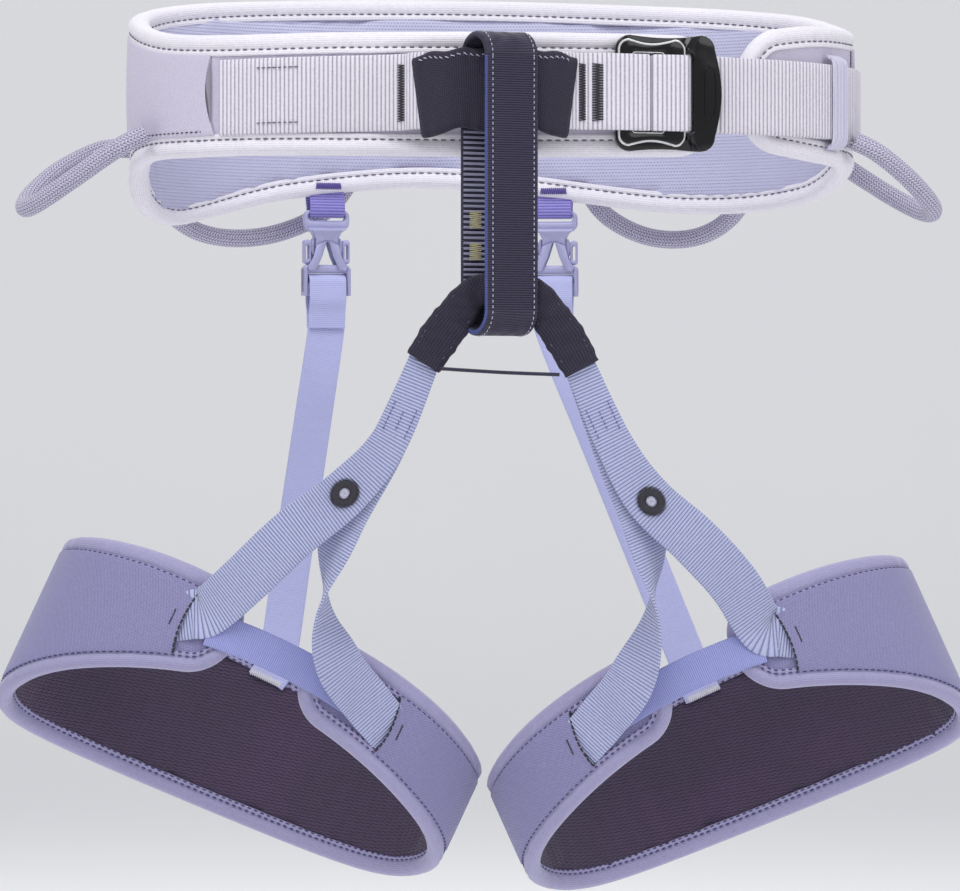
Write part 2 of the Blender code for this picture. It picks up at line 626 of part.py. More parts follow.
def rear_straps(side):
    """The tab on the belt, the buckle, the strap's turned end on the socket, and the elastic strap."""
    frame = release_buckle(side)
    out = frame.to_3x3() @ Vector((0, 1, 0))
    along = frame.to_3x3() @ Vector((1, 0, 0))
    route = ((0.0068, -0.0290), (0.0068, -0.0380), (0.0048, -0.0440), (0.0041, -0.0475), (0.0024, -0.0494),
             (0.0, -0.0499), (-0.0024, -0.0494), (-0.0041, -0.0475), (-0.0048, -0.0440), (-0.0068, -0.0380),
             (-0.0068, -0.0290))
    points = [frame @ Vector((0, y, z)) for y, z in route]
    edge_ribbon(f"rear_tab_{side}", points, along, REAR_WEB, "elastic")
    route = ((0.0018, -0.1070), (0.0022, -0.0985), (0.0050, -0.0925), (0.0058, -0.0885), (0.0046, -0.0860),
             (0.0, -0.0853), (-0.0046, -0.0860), (-0.0058, -0.0885), (-0.0050, -0.0925), (-0.0022, -0.0985),
             (-0.0018, -0.1070))
    points = [frame @ Vector((0, y, z)) for y, z in route]
    edge_ribbon(f"rear_strap_turn_{side}", points, along, REAR_WEB, "elastic")
    leg = LEGS[side]
    end = leg.at(180, -LEG_THICK - BINDING_PROUD - 0.0014, 0.031)
    top = frame @ Vector((0, 0, -0.0990))
    below = frame @ Vector((0, 0, -0.1085))
    above = leg.at(180, -LEG_THICK - BINDING_PROUD - 0.0014, 0.046)
    points = [top, below, below.lerp(above, 0.36), below.lerp(above, 0.70), above, end]
    rear = Vector((0, 1, 0))
    looks = [out, out, out.lerp(rear, 0.4), out.lerp(rear, 0.8), rear, rear]
    ribbon(f"rear_strap_{side}", points, looks, REAR_WEB, REAR_WEB_THICK, "elastic")


def edge_ribbon(name, points, along, width, key, thick=REAR_WEB_THICK):
    """Webbing whose width keeps one direction while its path turns."""
    path = curve_through(points, 2)
    count = len(path)
    sections = []
    for i, middle in enumerate(path):
        way = (path[min(i + 1, count - 1)] - path[max(i - 1, 0)]).normalized()
        look = along.cross(way).normalized() * (thick / 2)
        half = along * (width / 2)
        sections.append([middle - half - look, middle + half - look, middle + half + look,
                         middle - half + look])
    return skin(name, sections, key)


def leg_webbing(side):
    """The outer webbing to the outer pocket, and the inner one that turns over once on its way."""
    leg = LEGS[side]
    sign = 1 if side == "left" else -1
    front = Vector((0, -1, 0))
    over = BINDING_PROUD + 2 * GAP + REAR_WEB_THICK + LEG_WEB_THICK / 2
    gathered = lambda f: LEG_WEB * min(1.0, 0.62 + 1.9 * f)
    pocket = [leg.at(348, over + 0.0030, 0.009), leg.at(343.5, over + 0.0010, 0.007),
              leg.at(338.6, over, 0.006)]
    outer = [Vector(place) for place in OUTER_ROUTES[side]] + pocket
    looks = [front, front, front, front.lerp(leg.out(338), 0.3), leg.out(347), leg.out(343), leg.out(338)]
    ribbon(f"leg_webbing_outer_{side}", outer, looks, gathered, LEG_WEB_THICK, "webbing_leg", 3)
    mouth = [leg.at(20, over + 0.0045, 0.006), leg.at(27, over + 0.0015, 0.003), leg.at(33.4, over, 0.001)]
    inner = [Vector(place) for place in INNER_ROUTES[side]] + mouth
    turned = [front, front, Vector((-0.5 * sign, -0.87, 0)), Vector((-sign, 0.15, 0)),
              -leg.out(20), -leg.out(27), -leg.out(33)]
    ribbon(f"leg_webbing_inner_{side}", inner, turned, gathered, LEG_WEB_THICK, "webbing_leg", TWIST_STEPS)


def leg_loop(side):
    outline = LEG_OUTLINES[side]
    thick = LEG_THICK
    layers = (("lining", -thick, -thick + 0.0012, "lining_leg"), ("foam", -thick + 0.0015, -0.0013, "foam"),
              ("shell", -0.0010, 0.0, "shell_leg"))
    for name, inner, outer, key in layers:
        outline.slab(f"leg_{name}_{side}", BINDING + EDGE_GAP, inner, outer, key)
    outline.ring(f"leg_binding_{side}", BINDING, -thick - BINDING_PROUD, BINDING_PROUD, "binding_leg")
    margin = BINDING + 0.0012
    for name, span in (("outer", (276, 338)), ("inner", (34, 86))):
        patch(f"pocket_{name}_{side}", LEGS[side], span, lambda angle: outline.low(angle) + margin,
              lambda angle: outline.high(angle) - margin, LAYER_GAP, 0.0016, "shell_leg", 9)
    patch(f"leg_link_{side}", LEGS[side], (344, 387), lambda angle: -0.0085, lambda angle: 0.0085,
          BINDING_PROUD + GAP, BINDING_PROUD + GAP + REAR_WEB_THICK, "elastic", 8)
    leg_webbing(side)


def main():
    clear_scene()
    waist_belt()
    waist_webbing()
    tie_in_sleeve()
    belt_keepers()
    waist_buckle()
    belay_loop()
    leg_sleeve()
    gear_loops()
    for side in ("left", "right"):
        rear_straps(side)
        leg_loop(side)
    settle_origins()


main()
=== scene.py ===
# %% [markdown]
# # A sit harness for climbing
# A sit harness is a padded waist belt and two padded leg loops, held together by webbing. The solids that set
# its sizes and its moving parts come in first, as a fixed frame. Each cell after that makes one group of
# pieces, lays it where its solid is, and gives it a finish built from shader nodes.

# %% Load the frame
import math

import bpy
import numpy as np
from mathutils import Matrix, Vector


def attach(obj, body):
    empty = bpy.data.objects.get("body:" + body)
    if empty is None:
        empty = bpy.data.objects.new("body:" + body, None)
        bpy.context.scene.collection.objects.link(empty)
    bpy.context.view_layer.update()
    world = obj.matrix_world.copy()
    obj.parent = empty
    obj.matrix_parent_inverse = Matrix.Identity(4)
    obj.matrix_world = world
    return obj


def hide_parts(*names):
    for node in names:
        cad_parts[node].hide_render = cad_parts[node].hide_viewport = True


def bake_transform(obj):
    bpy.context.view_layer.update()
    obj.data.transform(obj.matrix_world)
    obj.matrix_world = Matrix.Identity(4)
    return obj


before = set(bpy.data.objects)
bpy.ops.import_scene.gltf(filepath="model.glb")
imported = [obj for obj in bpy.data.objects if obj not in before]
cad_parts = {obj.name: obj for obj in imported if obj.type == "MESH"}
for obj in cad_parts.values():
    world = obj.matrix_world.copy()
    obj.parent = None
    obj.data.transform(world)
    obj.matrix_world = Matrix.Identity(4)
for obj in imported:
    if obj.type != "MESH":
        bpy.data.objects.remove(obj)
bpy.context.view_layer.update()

# %% [markdown]
# ## The two ovals
# Everything padded is a band that runs round an oval: the belt round the waist, a leg loop round the thigh. A
# place on a band is an angle round the oval (0 at the front), a distance out of it and a height. Working in
# those three numbers keeps webbing, seams and stitches on the cloth, whichever way the loop leans.

# %% Sizes shared with the solids
WAIST_HALF = (0.180, 0.095)
WAIST_SHIFT = 0.0025
WAIST_THICK = 0.0080
WAIST_ENDS = (42.0, 398.0)
LEG_HALF = (0.1175, 0.068)
LEG_CENTRES = {"left": (-0.1204, 0.0, -0.3045), "right": (0.1190, 0.0, -0.3125)}
LEG_ROLLS = {"left": 24.9, "right": 24.2}
LEG_TILT, LEG_BOW = 0.027, 0.013
LEG_THICK = 0.0060
LEG_ENDS = (8.5, 351.0)
WAIST_LOW = ((42, -0.024), (60, -0.029), (90, -0.033), (115, -0.045), (145, -0.048), (188, -0.034),
             (215, -0.040), (245, -0.056), (262, -0.050), (280, -0.031), (310, -0.028), (360, -0.0305),
             (400, -0.029))
WAIST_HIGH = ((42, 0.031), (60, 0.037), (90, 0.040), (120, 0.052), (150, 0.060), (188, 0.0645),
              (230, 0.060), (270, 0.047), (300, 0.033), (340, 0.030), (400, 0.029))
LEG_HALF_HEIGHT = ((8, 0.021), (45, 0.0245), (90, 0.0275), (135, 0.037), (180, 0.043), (225, 0.0445),
                   (270, 0.0435), (315, 0.033), (352, 0.021))
SIDES = ("left", "right")
UP = np.array((0.0, 0.0, 1.0))
BACK = np.array((0.0, 1.0, 0.0))


# %% Curves and ovals
def unit(vectors):
    return vectors / np.maximum(np.linalg.norm(vectors, axis=-1, keepdims=True), 1e-12)


def run_length(points):
    return np.concatenate([[0.0], np.cumsum(np.linalg.norm(np.diff(points, axis=0), axis=1))])


def eased(keys, at):
    """A smooth curve through (place, value) pairs, read at many places."""
    xs, ys = (np.array(column, float) for column in zip(*keys))
    slopes = np.gradient(ys, xs)
    slopes[1:-1] = (ys[2:] - ys[:-2]) / (xs[2:] - xs[:-2])
    at = np.asarray(at, float)
    i = np.clip(np.searchsorted(xs, at) - 1, 0, len(xs) - 2)
    span = xs[i + 1] - xs[i]
    f = np.clip((at - xs[i]) / span, 0.0, 1.0)
    rise, fall = f * f * (3 - 2 * f), 1 - f
    return ys[i] * (1 - rise) + ys[i + 1] * rise + span * f * fall * (slopes[i] * fall - slopes[i + 1] * f)


def belt_low(angle):
    return eased(WAIST_LOW, angle)


def belt_high(angle):
    return eased(WAIST_HIGH, angle)


def leg_half(angle):
    return eased(LEG_HALF_HEIGHT, angle)


def curve(points, spacing):
    """Evenly spaced points on a smooth curve through the given rows of numbers, spaced by their first three."""
    keys = np.array(points, float)
    padded = np.vstack([keys[:1], keys, keys[-1:]])
    f = np.linspace(0, 1, 24, endpoint=False)[:, None]
    rows = [0.5 * (2 * b + (c - a) * f + (2 * a - 5 * b + 4 * c - d) * f ** 2 + (3 * b - a - 3 * c + d) * f ** 3)
            for a, b, c, d in zip(padded, padded[1:], padded[2:], padded[3:])]
    fine = np.vstack(rows + [keys[-1:]])
    length = run_length(fine[:, :3])
    at = np.linspace(0, length[-1], max(int(length[-1] / spacing), 4))
    return np.stack([np.interp(at, length, column) for column in fine.T], axis=1)


class Oval:
    """An oval path: a place on it is an angle, a distance out and a height."""

    def __init__(self, centre, half, roll=0.0, inward=1, lift=(0.0, 0.0)):
        lean = math.radians(roll)
        self.centre = np.array(centre, float)
        self.along = np.array((inward * math.cos(lean), 0, -math.sin(lean)))
        self.up = np.array((inward * math.sin(lean), 0, math.cos(lean)))
        self.a, self.b = half
        self.lift = lift

    def out(self, angle):
        turn = np.radians(np.asarray(angle, float))[..., None]
        return unit(self.along * np.sin(turn) / self.a - BACK * np.cos(turn) / self.b)

    def pace(self, angle):
        """How far one degree goes round the oval at an angle."""
        turn = np.radians(angle)
        return np.radians(np.hypot(self.a * np.cos(turn), self.b * np.sin(turn)))

    def at(self, angle, out=0.0, height=0.0):
        angle, out, height = np.broadcast_arrays(*(np.asarray(x, float) for x in (angle, out, height)))
        turn = np.radians(angle)[..., None]
        lean = np.cos(turn)
        rise = height[..., None] + self.lift[0] * lean + self.lift[1] * lean ** 2
        base = self.along * self.a * np.sin(turn) - BACK * self.b * lean
        return self.centre + base + self.out(angle) * out[..., None] + self.up * rise

    def read(self, points):
        """(angle, out, height) of each point, the other way round from at()."""
        d = points - self.centre
        angle = np.degrees(np.arctan2(d @ self.along / self.a, -d[:, 1] / self.b)) % 360
        gap = points - self.at(angle)
        return angle, np.einsum("ij,ij->i", gap, self.out(angle)), gap @ self.up

    def arc(self, angle):
        """The way round the oval from angle 0, in metres."""
        table = np.linspace(0, 420, 841)
        run = np.concatenate([[0], np.cumsum(self.pace(table[:-1]) * 0.5)])
        return np.interp(angle, table, run)


WAIST = Oval((WAIST_SHIFT, 0, 0), WAIST_HALF)
LEGS = {side: Oval(LEG_CENTRES[side], LEG_HALF, LEG_ROLLS[side], 1 if side == "left" else -1,
                   (LEG_TILT, LEG_BOW)) for side in SIDES}


class Outline:
    """The outline of a band along an oval: two ends, two long edges and round corners."""

    def __init__(self, oval, ends, low, high, radius):
        self.oval, self.ends, self.low, self.high, self.radius = oval, ends, low, high, radius

    def edges(self, inset, count):
        """Angles, low heights and high heights along the band, its outline drawn in by `inset`."""
        first = self.ends[0] + inset / self.oval.pace(self.ends[0])
        last = self.ends[1] - inset / self.oval.pace(self.ends[1])
        radius = self.radius - inset
        turn = np.linspace(0, np.pi / 2, 10)
        start = first + radius * (1 - np.cos(turn)) / self.oval.pace(first)
        stop = last - radius * (1 - np.cos(turn)) / self.oval.pace(last)
        drop = radius * (1 - np.sin(turn))
        middle = np.linspace(start[-1], stop[-1], count)[1:-1]
        angles = np.concatenate([start, middle, stop[::-1]])
        drops = np.concatenate([drop, np.zeros(len(middle)), drop[::-1]])
        return angles, self.low(angles) + inset + drops, self.high(angles) - inset - drops


WAIST_BAND = Outline(WAIST, WAIST_ENDS, belt_low, belt_high, 0.022)
LEG_BANDS = {side: Outline(LEGS[side], LEG_ENDS, lambda a: -leg_half(a), leg_half, 0.018) for side in SIDES}
print("waist round:", round(float(WAIST.arc(360)), 3), "m; thigh round:", round(float(LEGS["left"].arc(360)), 3))

# %% [markdown]
# ## Laying a sheet over a shape
# Cloth starts as a flat sheet, and so does each piece here: a grid primitive, whose rows and columns are then
# laid over a shape worked out from the ovals. Its UV map is set in metres, so that a weave has the same size
# on every piece. Seams are closed by merging, ends by filling, and the normals are turned out last.


# %% Modelling helpers
def select_only(piece):
    bpy.ops.object.select_all(action="DESELECT")
    piece.select_set(True)
    bpy.context.view_layer.objects.active = piece


def apply(piece, kind, **settings):
    select_only(piece)
    modifier = piece.modifiers.new(kind.title(), kind)
    for key, value in settings.items():
        setattr(modifier, key, value)
    bpy.ops.object.modifier_apply(modifier=modifier.name)


def places(piece):
    co = np.empty(len(piece.data.vertices) * 3)
    piece.data.vertices.foreach_get("co", co)
    return co.reshape(-1, 3)


def put(piece, co):
    piece.data.vertices.foreach_set("co", np.asarray(co, float).ravel())
    piece.data.update()


def write_uv(piece, u, v):
    """Writes one UV place for each vertex, in metres."""
    mesh = piece.data
    layer = mesh.uv_layers.active or mesh.uv_layers.new(name="UVMap")
    layer.name = "UVMap"
    corners = np.empty(len(mesh.loops), np.int32)
    mesh.loops.foreach_get("vertex_index", corners)
    layer.data.foreach_set("uv", np.stack([u, v], axis=1).astype(np.float32)[corners].ravel())


def skin(name, points, loop_u=False, loop_v=True):
    """A grid laid over rows of points: points[i, j] is column i of the path and point j of its cross section."""
    points = np.asarray(points, float)
    if loop_u:
        points = np.concatenate([points, points[:1]])
    if loop_v:
        points = np.concatenate([points, points[:, :1]], axis=1)
    columns, rows = points.shape[0] - 1, points.shape[1] - 1
    bpy.ops.object.select_all(action="DESELECT")
    bpy.ops.mesh.primitive_grid_add(x_subdivisions=columns, y_subdivisions=rows, size=1)
    piece = bpy.context.object
    piece.name = piece.data.name = name
    flat = places(piece)
    i = np.rint((flat[:, 0] + 0.5) * columns).astype(int)
    j = np.rint((flat[:, 1] + 0.5) * rows).astype(int)
    put(piece, points[i, j])
    write_uv(piece, run_length(points.mean(axis=1))[i], run_length(points[columns // 2])[j])
    steps = [(bpy.ops.mesh.remove_doubles, {"threshold": 1e-6})]
    if loop_v and not loop_u:
        steps.append((bpy.ops.mesh.fill_holes, {"sides": 0}))
    steps.append((bpy.ops.mesh.normals_make_consistent, {"inside": False}))
    select_only(piece)
    bpy.ops.object.mode_set(mode="EDIT")
    for operator, settings in steps:
        bpy.ops.mesh.select_all(action="SELECT")
        operator(**settings)
    bpy.ops.object.mode_set(mode="OBJECT")
    bpy.ops.object.shade_smooth_by_angle(angle=math.radians(50))
    return piece


def rounded(width, thick, across, edge):
    """A flat ribbon's cross section, its two edges rounded: (across, out) pairs."""
    half, r = width / 2 - thick / 2, thick / 2
    line = np.linspace(-half, half, across)
    turn = np.linspace(-np.pi / 2, np.pi / 2, edge + 2)[1:-1]
    front = np.stack([line, np.full(across, -r)], axis=1)
    right = np.stack([half + r * np.cos(turn), r * np.sin(turn)], axis=1)
    return np.vstack([front, right, -front, -right])


def circle(radius, sides):
    turn = np.linspace(0, 2 * np.pi, sides, endpoint=False)
    return np.stack([np.cos(turn), np.sin(turn)], axis=1) * radius


def frames(path, looks):
    """The side and the outward direction of a path that faces roughly along `looks`."""
    way = unit(np.gradient(path, axis=0))
    side = unit(np.cross(way, looks))
    return side, np.cross(side, way)


def swept(path, side, out, profile):
    """A cross section, or one for each step, carried along a path."""
    side, out = (np.broadcast_to(v, path.shape)[:, None] for v in (side, out))
    profile = np.broadcast_to(profile, (len(path), *np.shape(profile)[-2:]))
    return path[:, None] + side * profile[..., :1] + out * profile[..., 1:]


def wire(name, path, looks, radius, sides, closed=False):
    return skin(name, swept(path, *frames(path, looks), circle(radius, sides)), loop_u=closed)


def ribs(path, pitch, depth):
    """How far each cross rib of a webbing stands out, along its path."""
    return depth * (np.abs(np.sin(np.pi * run_length(path) / pitch)) - 0.6)


print("helpers ready")

# %% [markdown]
# ## Writing shaders as sums
# A weave is a height and a colour that repeat. Each pattern here is written as arithmetic on the cloth's own
# measurements in metres, so it is sized by real numbers, such as 2.2 mm from one rib of webbing to the next.


# %% Shader helpers
class Value:
    """A shader socket that is added, multiplied and compared as if it were a number."""

    def __init__(self, tree, socket):
        self.tree, self.socket = tree, socket

    def node(self, kind, settings, *inputs):
        made = self.tree.nodes.new(kind)
        for key, value in settings.items():
            setattr(made, key, value)
        for slot, value in zip(made.inputs, inputs):
            if isinstance(value, Value):
                self.tree.links.new(value.socket, slot)
            elif value is not None:
                slot.default_value = value
        return Value(self.tree, made.outputs[0])

    def math(self, operation, *others):
        return self.node("ShaderNodeMath", {"operation": operation}, *others)

    def __add__(self, other):
        return self.math("ADD", self, other)

    def __sub__(self, other):
        return self.math("SUBTRACT", self, other)

    def __mul__(self, other):
        return self.math("MULTIPLY", self, other)

    def __truediv__(self, other):
        return self.math("DIVIDE", self, other)

    def wave(self, pitch):
        """A ridge from 0 to 1 that comes back every `pitch` metres."""
        return self.math("ABSOLUTE", self.math("SINE", self * (math.pi / pitch)))

    def fraction(self):
        return self.math("FRACT", self)

    def power(self, exponent):
        return self.math("POWER", self, exponent)

    def within(self, low, high):
        """0 below `low`, 1 above `high` and smooth in between."""
        return self.node("ShaderNodeMapRange", {"interpolation_type": "SMOOTHSTEP"}, self, low, high, 0.0, 1.0)

    def mix(self, a, b):
        """The colour `a` where this value is 0 and `b` where it is 1."""
        made = self.tree.nodes.new("ShaderNodeMix")
        made.data_type = "RGBA"
        self.tree.links.new(self.socket, made.inputs[0])
        for slot, colour in ((made.inputs[6], a), (made.inputs[7], b)):
            if isinstance(colour, Value):
                self.tree.links.new(colour.socket, slot)
            else:
                slot.default_value = (*colour, 1.0)
        return Value(self.tree, made.outputs[2])


def rgb(code):
    """A linear colour from six hexadecimal digits."""
    values = [int(code[i:i + 2], 16) / 255 for i in (0, 2, 4)]
    return tuple(v / 12.92 if v < 0.04045 else ((v + 0.055) / 1.055) ** 2.4 for v in values)


def shade(colour, gain, top=1.0):
    return tuple(min(c * gain, top) for c in colour)


class Finish:
    """A material under construction: its places on the cloth, and what it sends to the surface."""

    def __init__(self, name, roughness, sheen=0.0, metallic=0.0, coat=0.0):
        self.material = bpy.data.materials.new(name)
        self.material.use_nodes = True
        self.tree = self.material.node_tree
        self.shader = self.tree.nodes["Principled BSDF"]
        for key, value in (("Roughness", roughness), ("Sheen Weight", sheen), ("Metallic", metallic),
                           ("Coat Weight", coat), ("Sheen Roughness", 0.4), ("Coat Roughness", 0.12)):
            self.shader.inputs[key].default_value = value
        uv = self.tree.nodes.new("ShaderNodeUVMap")
        uv.uv_map = "UVMap"
        split = self.tree.nodes.new("ShaderNodeSeparateXYZ")
        self.tree.links.new(uv.outputs[0], split.inputs[0])
        self.u, self.v = Value(self.tree, split.outputs[0]), Value(self.tree, split.outputs[1])
        self.place = Value(self.tree, self.tree.nodes.new("ShaderNodeTexCoord").outputs["Object"])

    def send(self, value, name):
        self.tree.links.new(value.socket, self.shader.inputs[name])

    def noise(self, scale, detail=3.0):
        """Smooth noise about 0.5."""
        return self.place.node("ShaderNodeTexNoise", {}, self.place, None, scale, detail)

    def relief(self, height, depth):
        """Raises the surface by up to `depth` metres where `height` is 1."""
        bump = self.tree.nodes.new("ShaderNodeBump")
        bump.inputs["Distance"].default_value = depth
        bump.inputs["Strength"].default_value = 1.0
        self.tree.links.new(height.socket, bump.inputs["Height"])
        self.send(Value(self.tree, bump.outputs[0]), "Normal")

    def worn(self, light, gain, scale=9.0):
        """A colour with the broad, faint unevenness that cloth gets from use."""
        return self.noise(scale).within(0.35, 0.65).mix(light, shade(light, gain))

    def threads(self, high, fuzz, weights, span):
        """How much of the thread shows: 1 on top of the weave, 0 in its gaps, roughened by fuzz."""
        return (high * weights[0] + fuzz * weights[1] - weights[2]).within(*span)


print("shader helpers ready")

# %% [markdown]
# ## The finishes
# Knits, weaves, ribs and braids are all threads passing over and under. Two crossed waves make a plain weave,
# one wave makes ribs, and a wave that leans one way and then the other makes a braid's herringbone. A slow
# noise over each shifts the shade a little, because no cloth is dyed and worn evenly.


# %% Woven and knitted finishes
def webbing_finish(name, light, dark, pitch, thread=0.00062, edge=None, half=None, depth=0.00035):
    """Ribbed webbing: cross ribs `pitch` apart, each made of thread ends side by side."""
    cloth = Finish(name, 0.5 if edge else 0.72, sheen=0.05 if edge else 0.25)
    rib = cloth.u.wave(pitch)
    high = rib * 0.75 + cloth.v.wave(thread) * rib * 0.35
    tone = cloth.threads(high, cloth.noise(900.0), (1.0, 0.5, 0.25), (0.12, 0.78)).mix(dark, cloth.worn(light, 0.93))
    if edge:
        front = cloth.u.math("LESS_THAN", cloth.u, 0.150)
        tone = ((cloth.v * -1).within(half - 0.0004, half) * front).mix(tone, edge)
    cloth.send(tone, "Base Color")
    cloth.relief(high, depth)
    return cloth.material


def woven_finish(name, light, dark, pitch, roughness=0.85, sheen=0.3, depth=0.00012, lean=0.0):
    """A fine plain or twill weave, read from the cloth's own map."""
    cloth = Finish(name, roughness, sheen)
    high = (cloth.u + cloth.v * lean).wave(pitch) * (cloth.v - cloth.u * lean).wave(pitch)
    fuzz = cloth.noise(1200.0)
    cover = cloth.threads(high, fuzz, (0.8, 0.6, 0.2), (0.0, 0.8))
    cloth.send(cover.mix(dark, cloth.worn(light, 0.94)), "Base Color")
    cloth.relief(high + fuzz * 0.5, depth)
    return cloth.material


def rolled_finish(name, light, dark, pitch=0.0011):
    """Stretch binding: fine lengthwise knit ribs, with a soft bloom."""
    cloth = Finish(name, 0.82, sheen=0.45)
    rib = cloth.v.wave(pitch)
    high = rib * 0.6 + cloth.u.wave(pitch * 0.8) * rib * 0.4
    fuzz = cloth.noise(700.0)
    cover = cloth.threads(high, fuzz, (0.55, 0.7, 0.1), (0.0, 0.75))
    cloth.send(cover.mix(dark, cloth.worn(light, 0.95, 14.0)), "Base Color")
    cloth.relief(high + fuzz * 0.6, 0.00010)
    return cloth.material


def mesh_finish(name, light, dark, pitch):
    """Knitted spacer mesh: staggered eyelets in slanting rows."""
    cloth = Finish(name, 0.85, sheen=0.3)
    row = cloth.v / pitch
    across = (cloth.u / pitch + row.math("FLOOR", row) * 0.5).fraction() - 0.5
    up = row.fraction() - 0.5
    eyelet = (across * across * 1.8 + up * up * 4.5).power(0.5).within(0.22, 0.52)
    yarn = (cloth.u + cloth.v).wave(0.0006)
    cover = (eyelet * 0.8 + cloth.noise(900.0, 2.0) * 0.4 + yarn * 0.15 - 0.2).within(0.0, 0.9)
    cloth.send(cover.mix(dark, cloth.worn(light, 0.92)), "Base Color")
    cloth.relief(eyelet + yarn * 0.2, 0.0003)
    return cloth.material


def wavy_finish(name, light, dark):
    """A hard-wearing knit whose rows waver, as inside the leg loops."""
    cloth = Finish(name, 0.88, sheen=0.25)
    sway = cloth.u.math("SINE", cloth.u * (2 * math.pi / 0.0038)) * 0.00030
    row = (cloth.v + cloth.u * 0.25 + sway).wave(0.0018)
    high = row.power(0.7) * 0.8 + cloth.u.wave(0.0011) * row * 0.35
    cover = cloth.threads(high, cloth.noise(800.0), (0.8, 0.6, 0.3), (0.0, 0.9))
    tinge = tuple(c * gain for c, gain in zip(light, (1.25, 1.05, 1.2)))
    cloth.send(cover.mix(dark, cloth.noise(22.0, 2.0).within(0.35, 0.7).mix(light, tinge)), "Base Color")
    cloth.relief(high, 0.0004)
    return cloth.material


def braid_finish(name, light, dark, radius):
    """A braided sheath: fine strands lean left and right by turns, lane by lane, with specks in their shade."""
    cord = Finish(name, 0.75, sheen=0.25)
    lane = 2 * math.pi * radius / 18
    half = (cord.v / (lane * 2.0)).fraction()
    lean = half.math("GREATER_THAN", half, 0.5) * 2 - 1
    high = (cord.u + cord.v * lean * 0.8).wave(0.0017) * 0.65 + cord.v.wave(lane) * 0.4
    fuzz = cord.noise(1500.0)
    cover = cord.threads(high, fuzz, (0.75, 0.5, 0.25), (0.05, 0.85))
    cord.send(cover.mix(dark, fuzz.within(0.60, 0.70).mix(light, shade(light, 1.25, 0.9))), "Base Color")
    cord.relief(high, 0.0003)
    return cord.material


# %% Metal, plastic and thread
def anodised_finish(name):
    """Black anodised alloy: satin, with the dye a little thinned where it has been rubbed."""
    metal = Finish(name, 0.3, metallic=1.0, coat=0.6)
    grain = metal.noise(260.0, 4.0)
    scuff = metal.noise(60.0, 5.0).within(0.55, 0.75)
    metal.send(scuff.mix((0.012, 0.012, 0.013), (0.030, 0.030, 0.032)), "Base Color")
    metal.send(grain * 0.12 + scuff * 0.12 + 0.20, "Roughness")
    metal.relief(grain, 0.00002)
    return metal.material


def bare_finish(name):
    """Alloy polished bare."""
    metal = Finish(name, 0.28, metallic=1.0)
    grain = metal.noise(400.0)
    metal.send(grain.mix((0.72, 0.72, 0.74), (0.95, 0.95, 0.96)), "Base Color")
    metal.send(grain * 0.2 + 0.2, "Roughness")
    return metal.material


def moulded_finish(name, light):
    """Moulded acetal: a faint spark-eroded grain and slight scuffs."""
    plastic = Finish(name, 0.42, coat=0.15)
    grain = plastic.noise(1400.0)
    scuff = plastic.noise(90.0, 4.0).within(0.5, 0.8)
    plastic.send(scuff.mix(light, shade(light, 1.12)), "Base Color")
    plastic.send(scuff * 0.12 + grain * 0.08 + 0.34, "Roughness")
    plastic.relief(grain, 0.00003)
    return plastic.material


def thread_finish(name, light):
    """Twisted sewing thread."""
    thread = Finish(name, 0.6, sheen=0.3)
    twist = (thread.u + thread.v * 0.8).wave(0.0006)
    thread.send(twist.mix(shade(light, 0.7), light), "Base Color")
    thread.relief(twist, 0.0001)
    return thread.material


# %% The harness's own finishes
WHITE_WEB = webbing_finish("waist_webbing", rgb("e9e5ee"), rgb("a39cb0"), 0.0022)
LEG_WEBBING = webbing_finish("leg_webbing", rgb("b9bede"), rgb("767cae"), 0.0016)
ELASTIC = webbing_finish("elastic_webbing", rgb("bfc2ea"), rgb("a7abdc"), 0.0010, 0.0009, depth=0.00008)
# The link elastic is the same elastic as ELASTIC, its colours painted darker for the shade it lies in.
SHADED_ELASTIC = webbing_finish("link_elastic_painted_shade", rgb("9ba0d4"), rgb("7379b8"), 0.0010, 0.0009, depth=0.00008)
TAB = webbing_finish("tab_elastic", rgb("948cd2"), rgb("5c54a4"), 0.0015, 0.0009, depth=0.0002)
KEEPER = webbing_finish("keeper_elastic", rgb("d8d6e8"), rgb("a6a4c6"), 0.0012, 0.0009, depth=0.00012)
BELAY = webbing_finish("belay_webbing", rgb("322c49"), rgb("0d0a19"), 0.0011, 0.0008, rgb("434f90"), 0.0125)
SLEEVE = woven_finish("sleeve_fabric", rgb("322c44"), rgb("110d1d"), 0.0011, 0.8, 0.08, 0.0002)
SHELL_WAIST = woven_finish("belt_shell_fabric", rgb("ddd7e8"), rgb("b5aec6"), 0.0008, lean=0.5)
SHELL_LEG = woven_finish("leg_shell_fabric", rgb("9c99c2"), rgb("6d6a95"), 0.0008, lean=0.5)
BIND_WAIST = rolled_finish("belt_binding_knit", rgb("ece9f0"), rgb("cdc8d6"))
BIND_LEG = rolled_finish("leg_binding_knit", rgb("a29ec2"), rgb("8985ab"))
MESH_WAIST = mesh_finish("belt_lining_mesh", rgb("c4c4df"), rgb("a09ec4"), 0.0017)
LINING_LEG = wavy_finish("leg_lining_knit", rgb("4a3f56"), rgb("2a2234"))
BRAID = braid_finish("gear_loop_braid", rgb("cdc9dd"), rgb("5b5675"), 0.0048)
CORD = braid_finish("bridge_cord_braid", rgb("3a3550"), rgb("16122a"), 0.0010)
ALLOY = anodised_finish("anodised_alloy")
BARE = bare_finish("bare_alloy_edge")
PLASTIC = moulded_finish("moulded_buckle", rgb("a3a3c8"))
# The dark "seam" thread serves real stitches and tacks, and also the painted shadow line along each leg pocket's
# mouth.
THREADS = {name: thread_finish(f"thread_{name}", rgb(code)) for name, code in (
    ("grey", "5c5670"), ("purple", "443c78"), ("pale", "c9c9dd"), ("white", "eceaf2"), ("dark", "2e2c38"),
    ("violet", "5a4e9c"), ("bar", "9a9ab4"), ("sand", "cfc7a2"), ("seam", "27212f"))}
print("finishes:", len(bpy.data.materials))

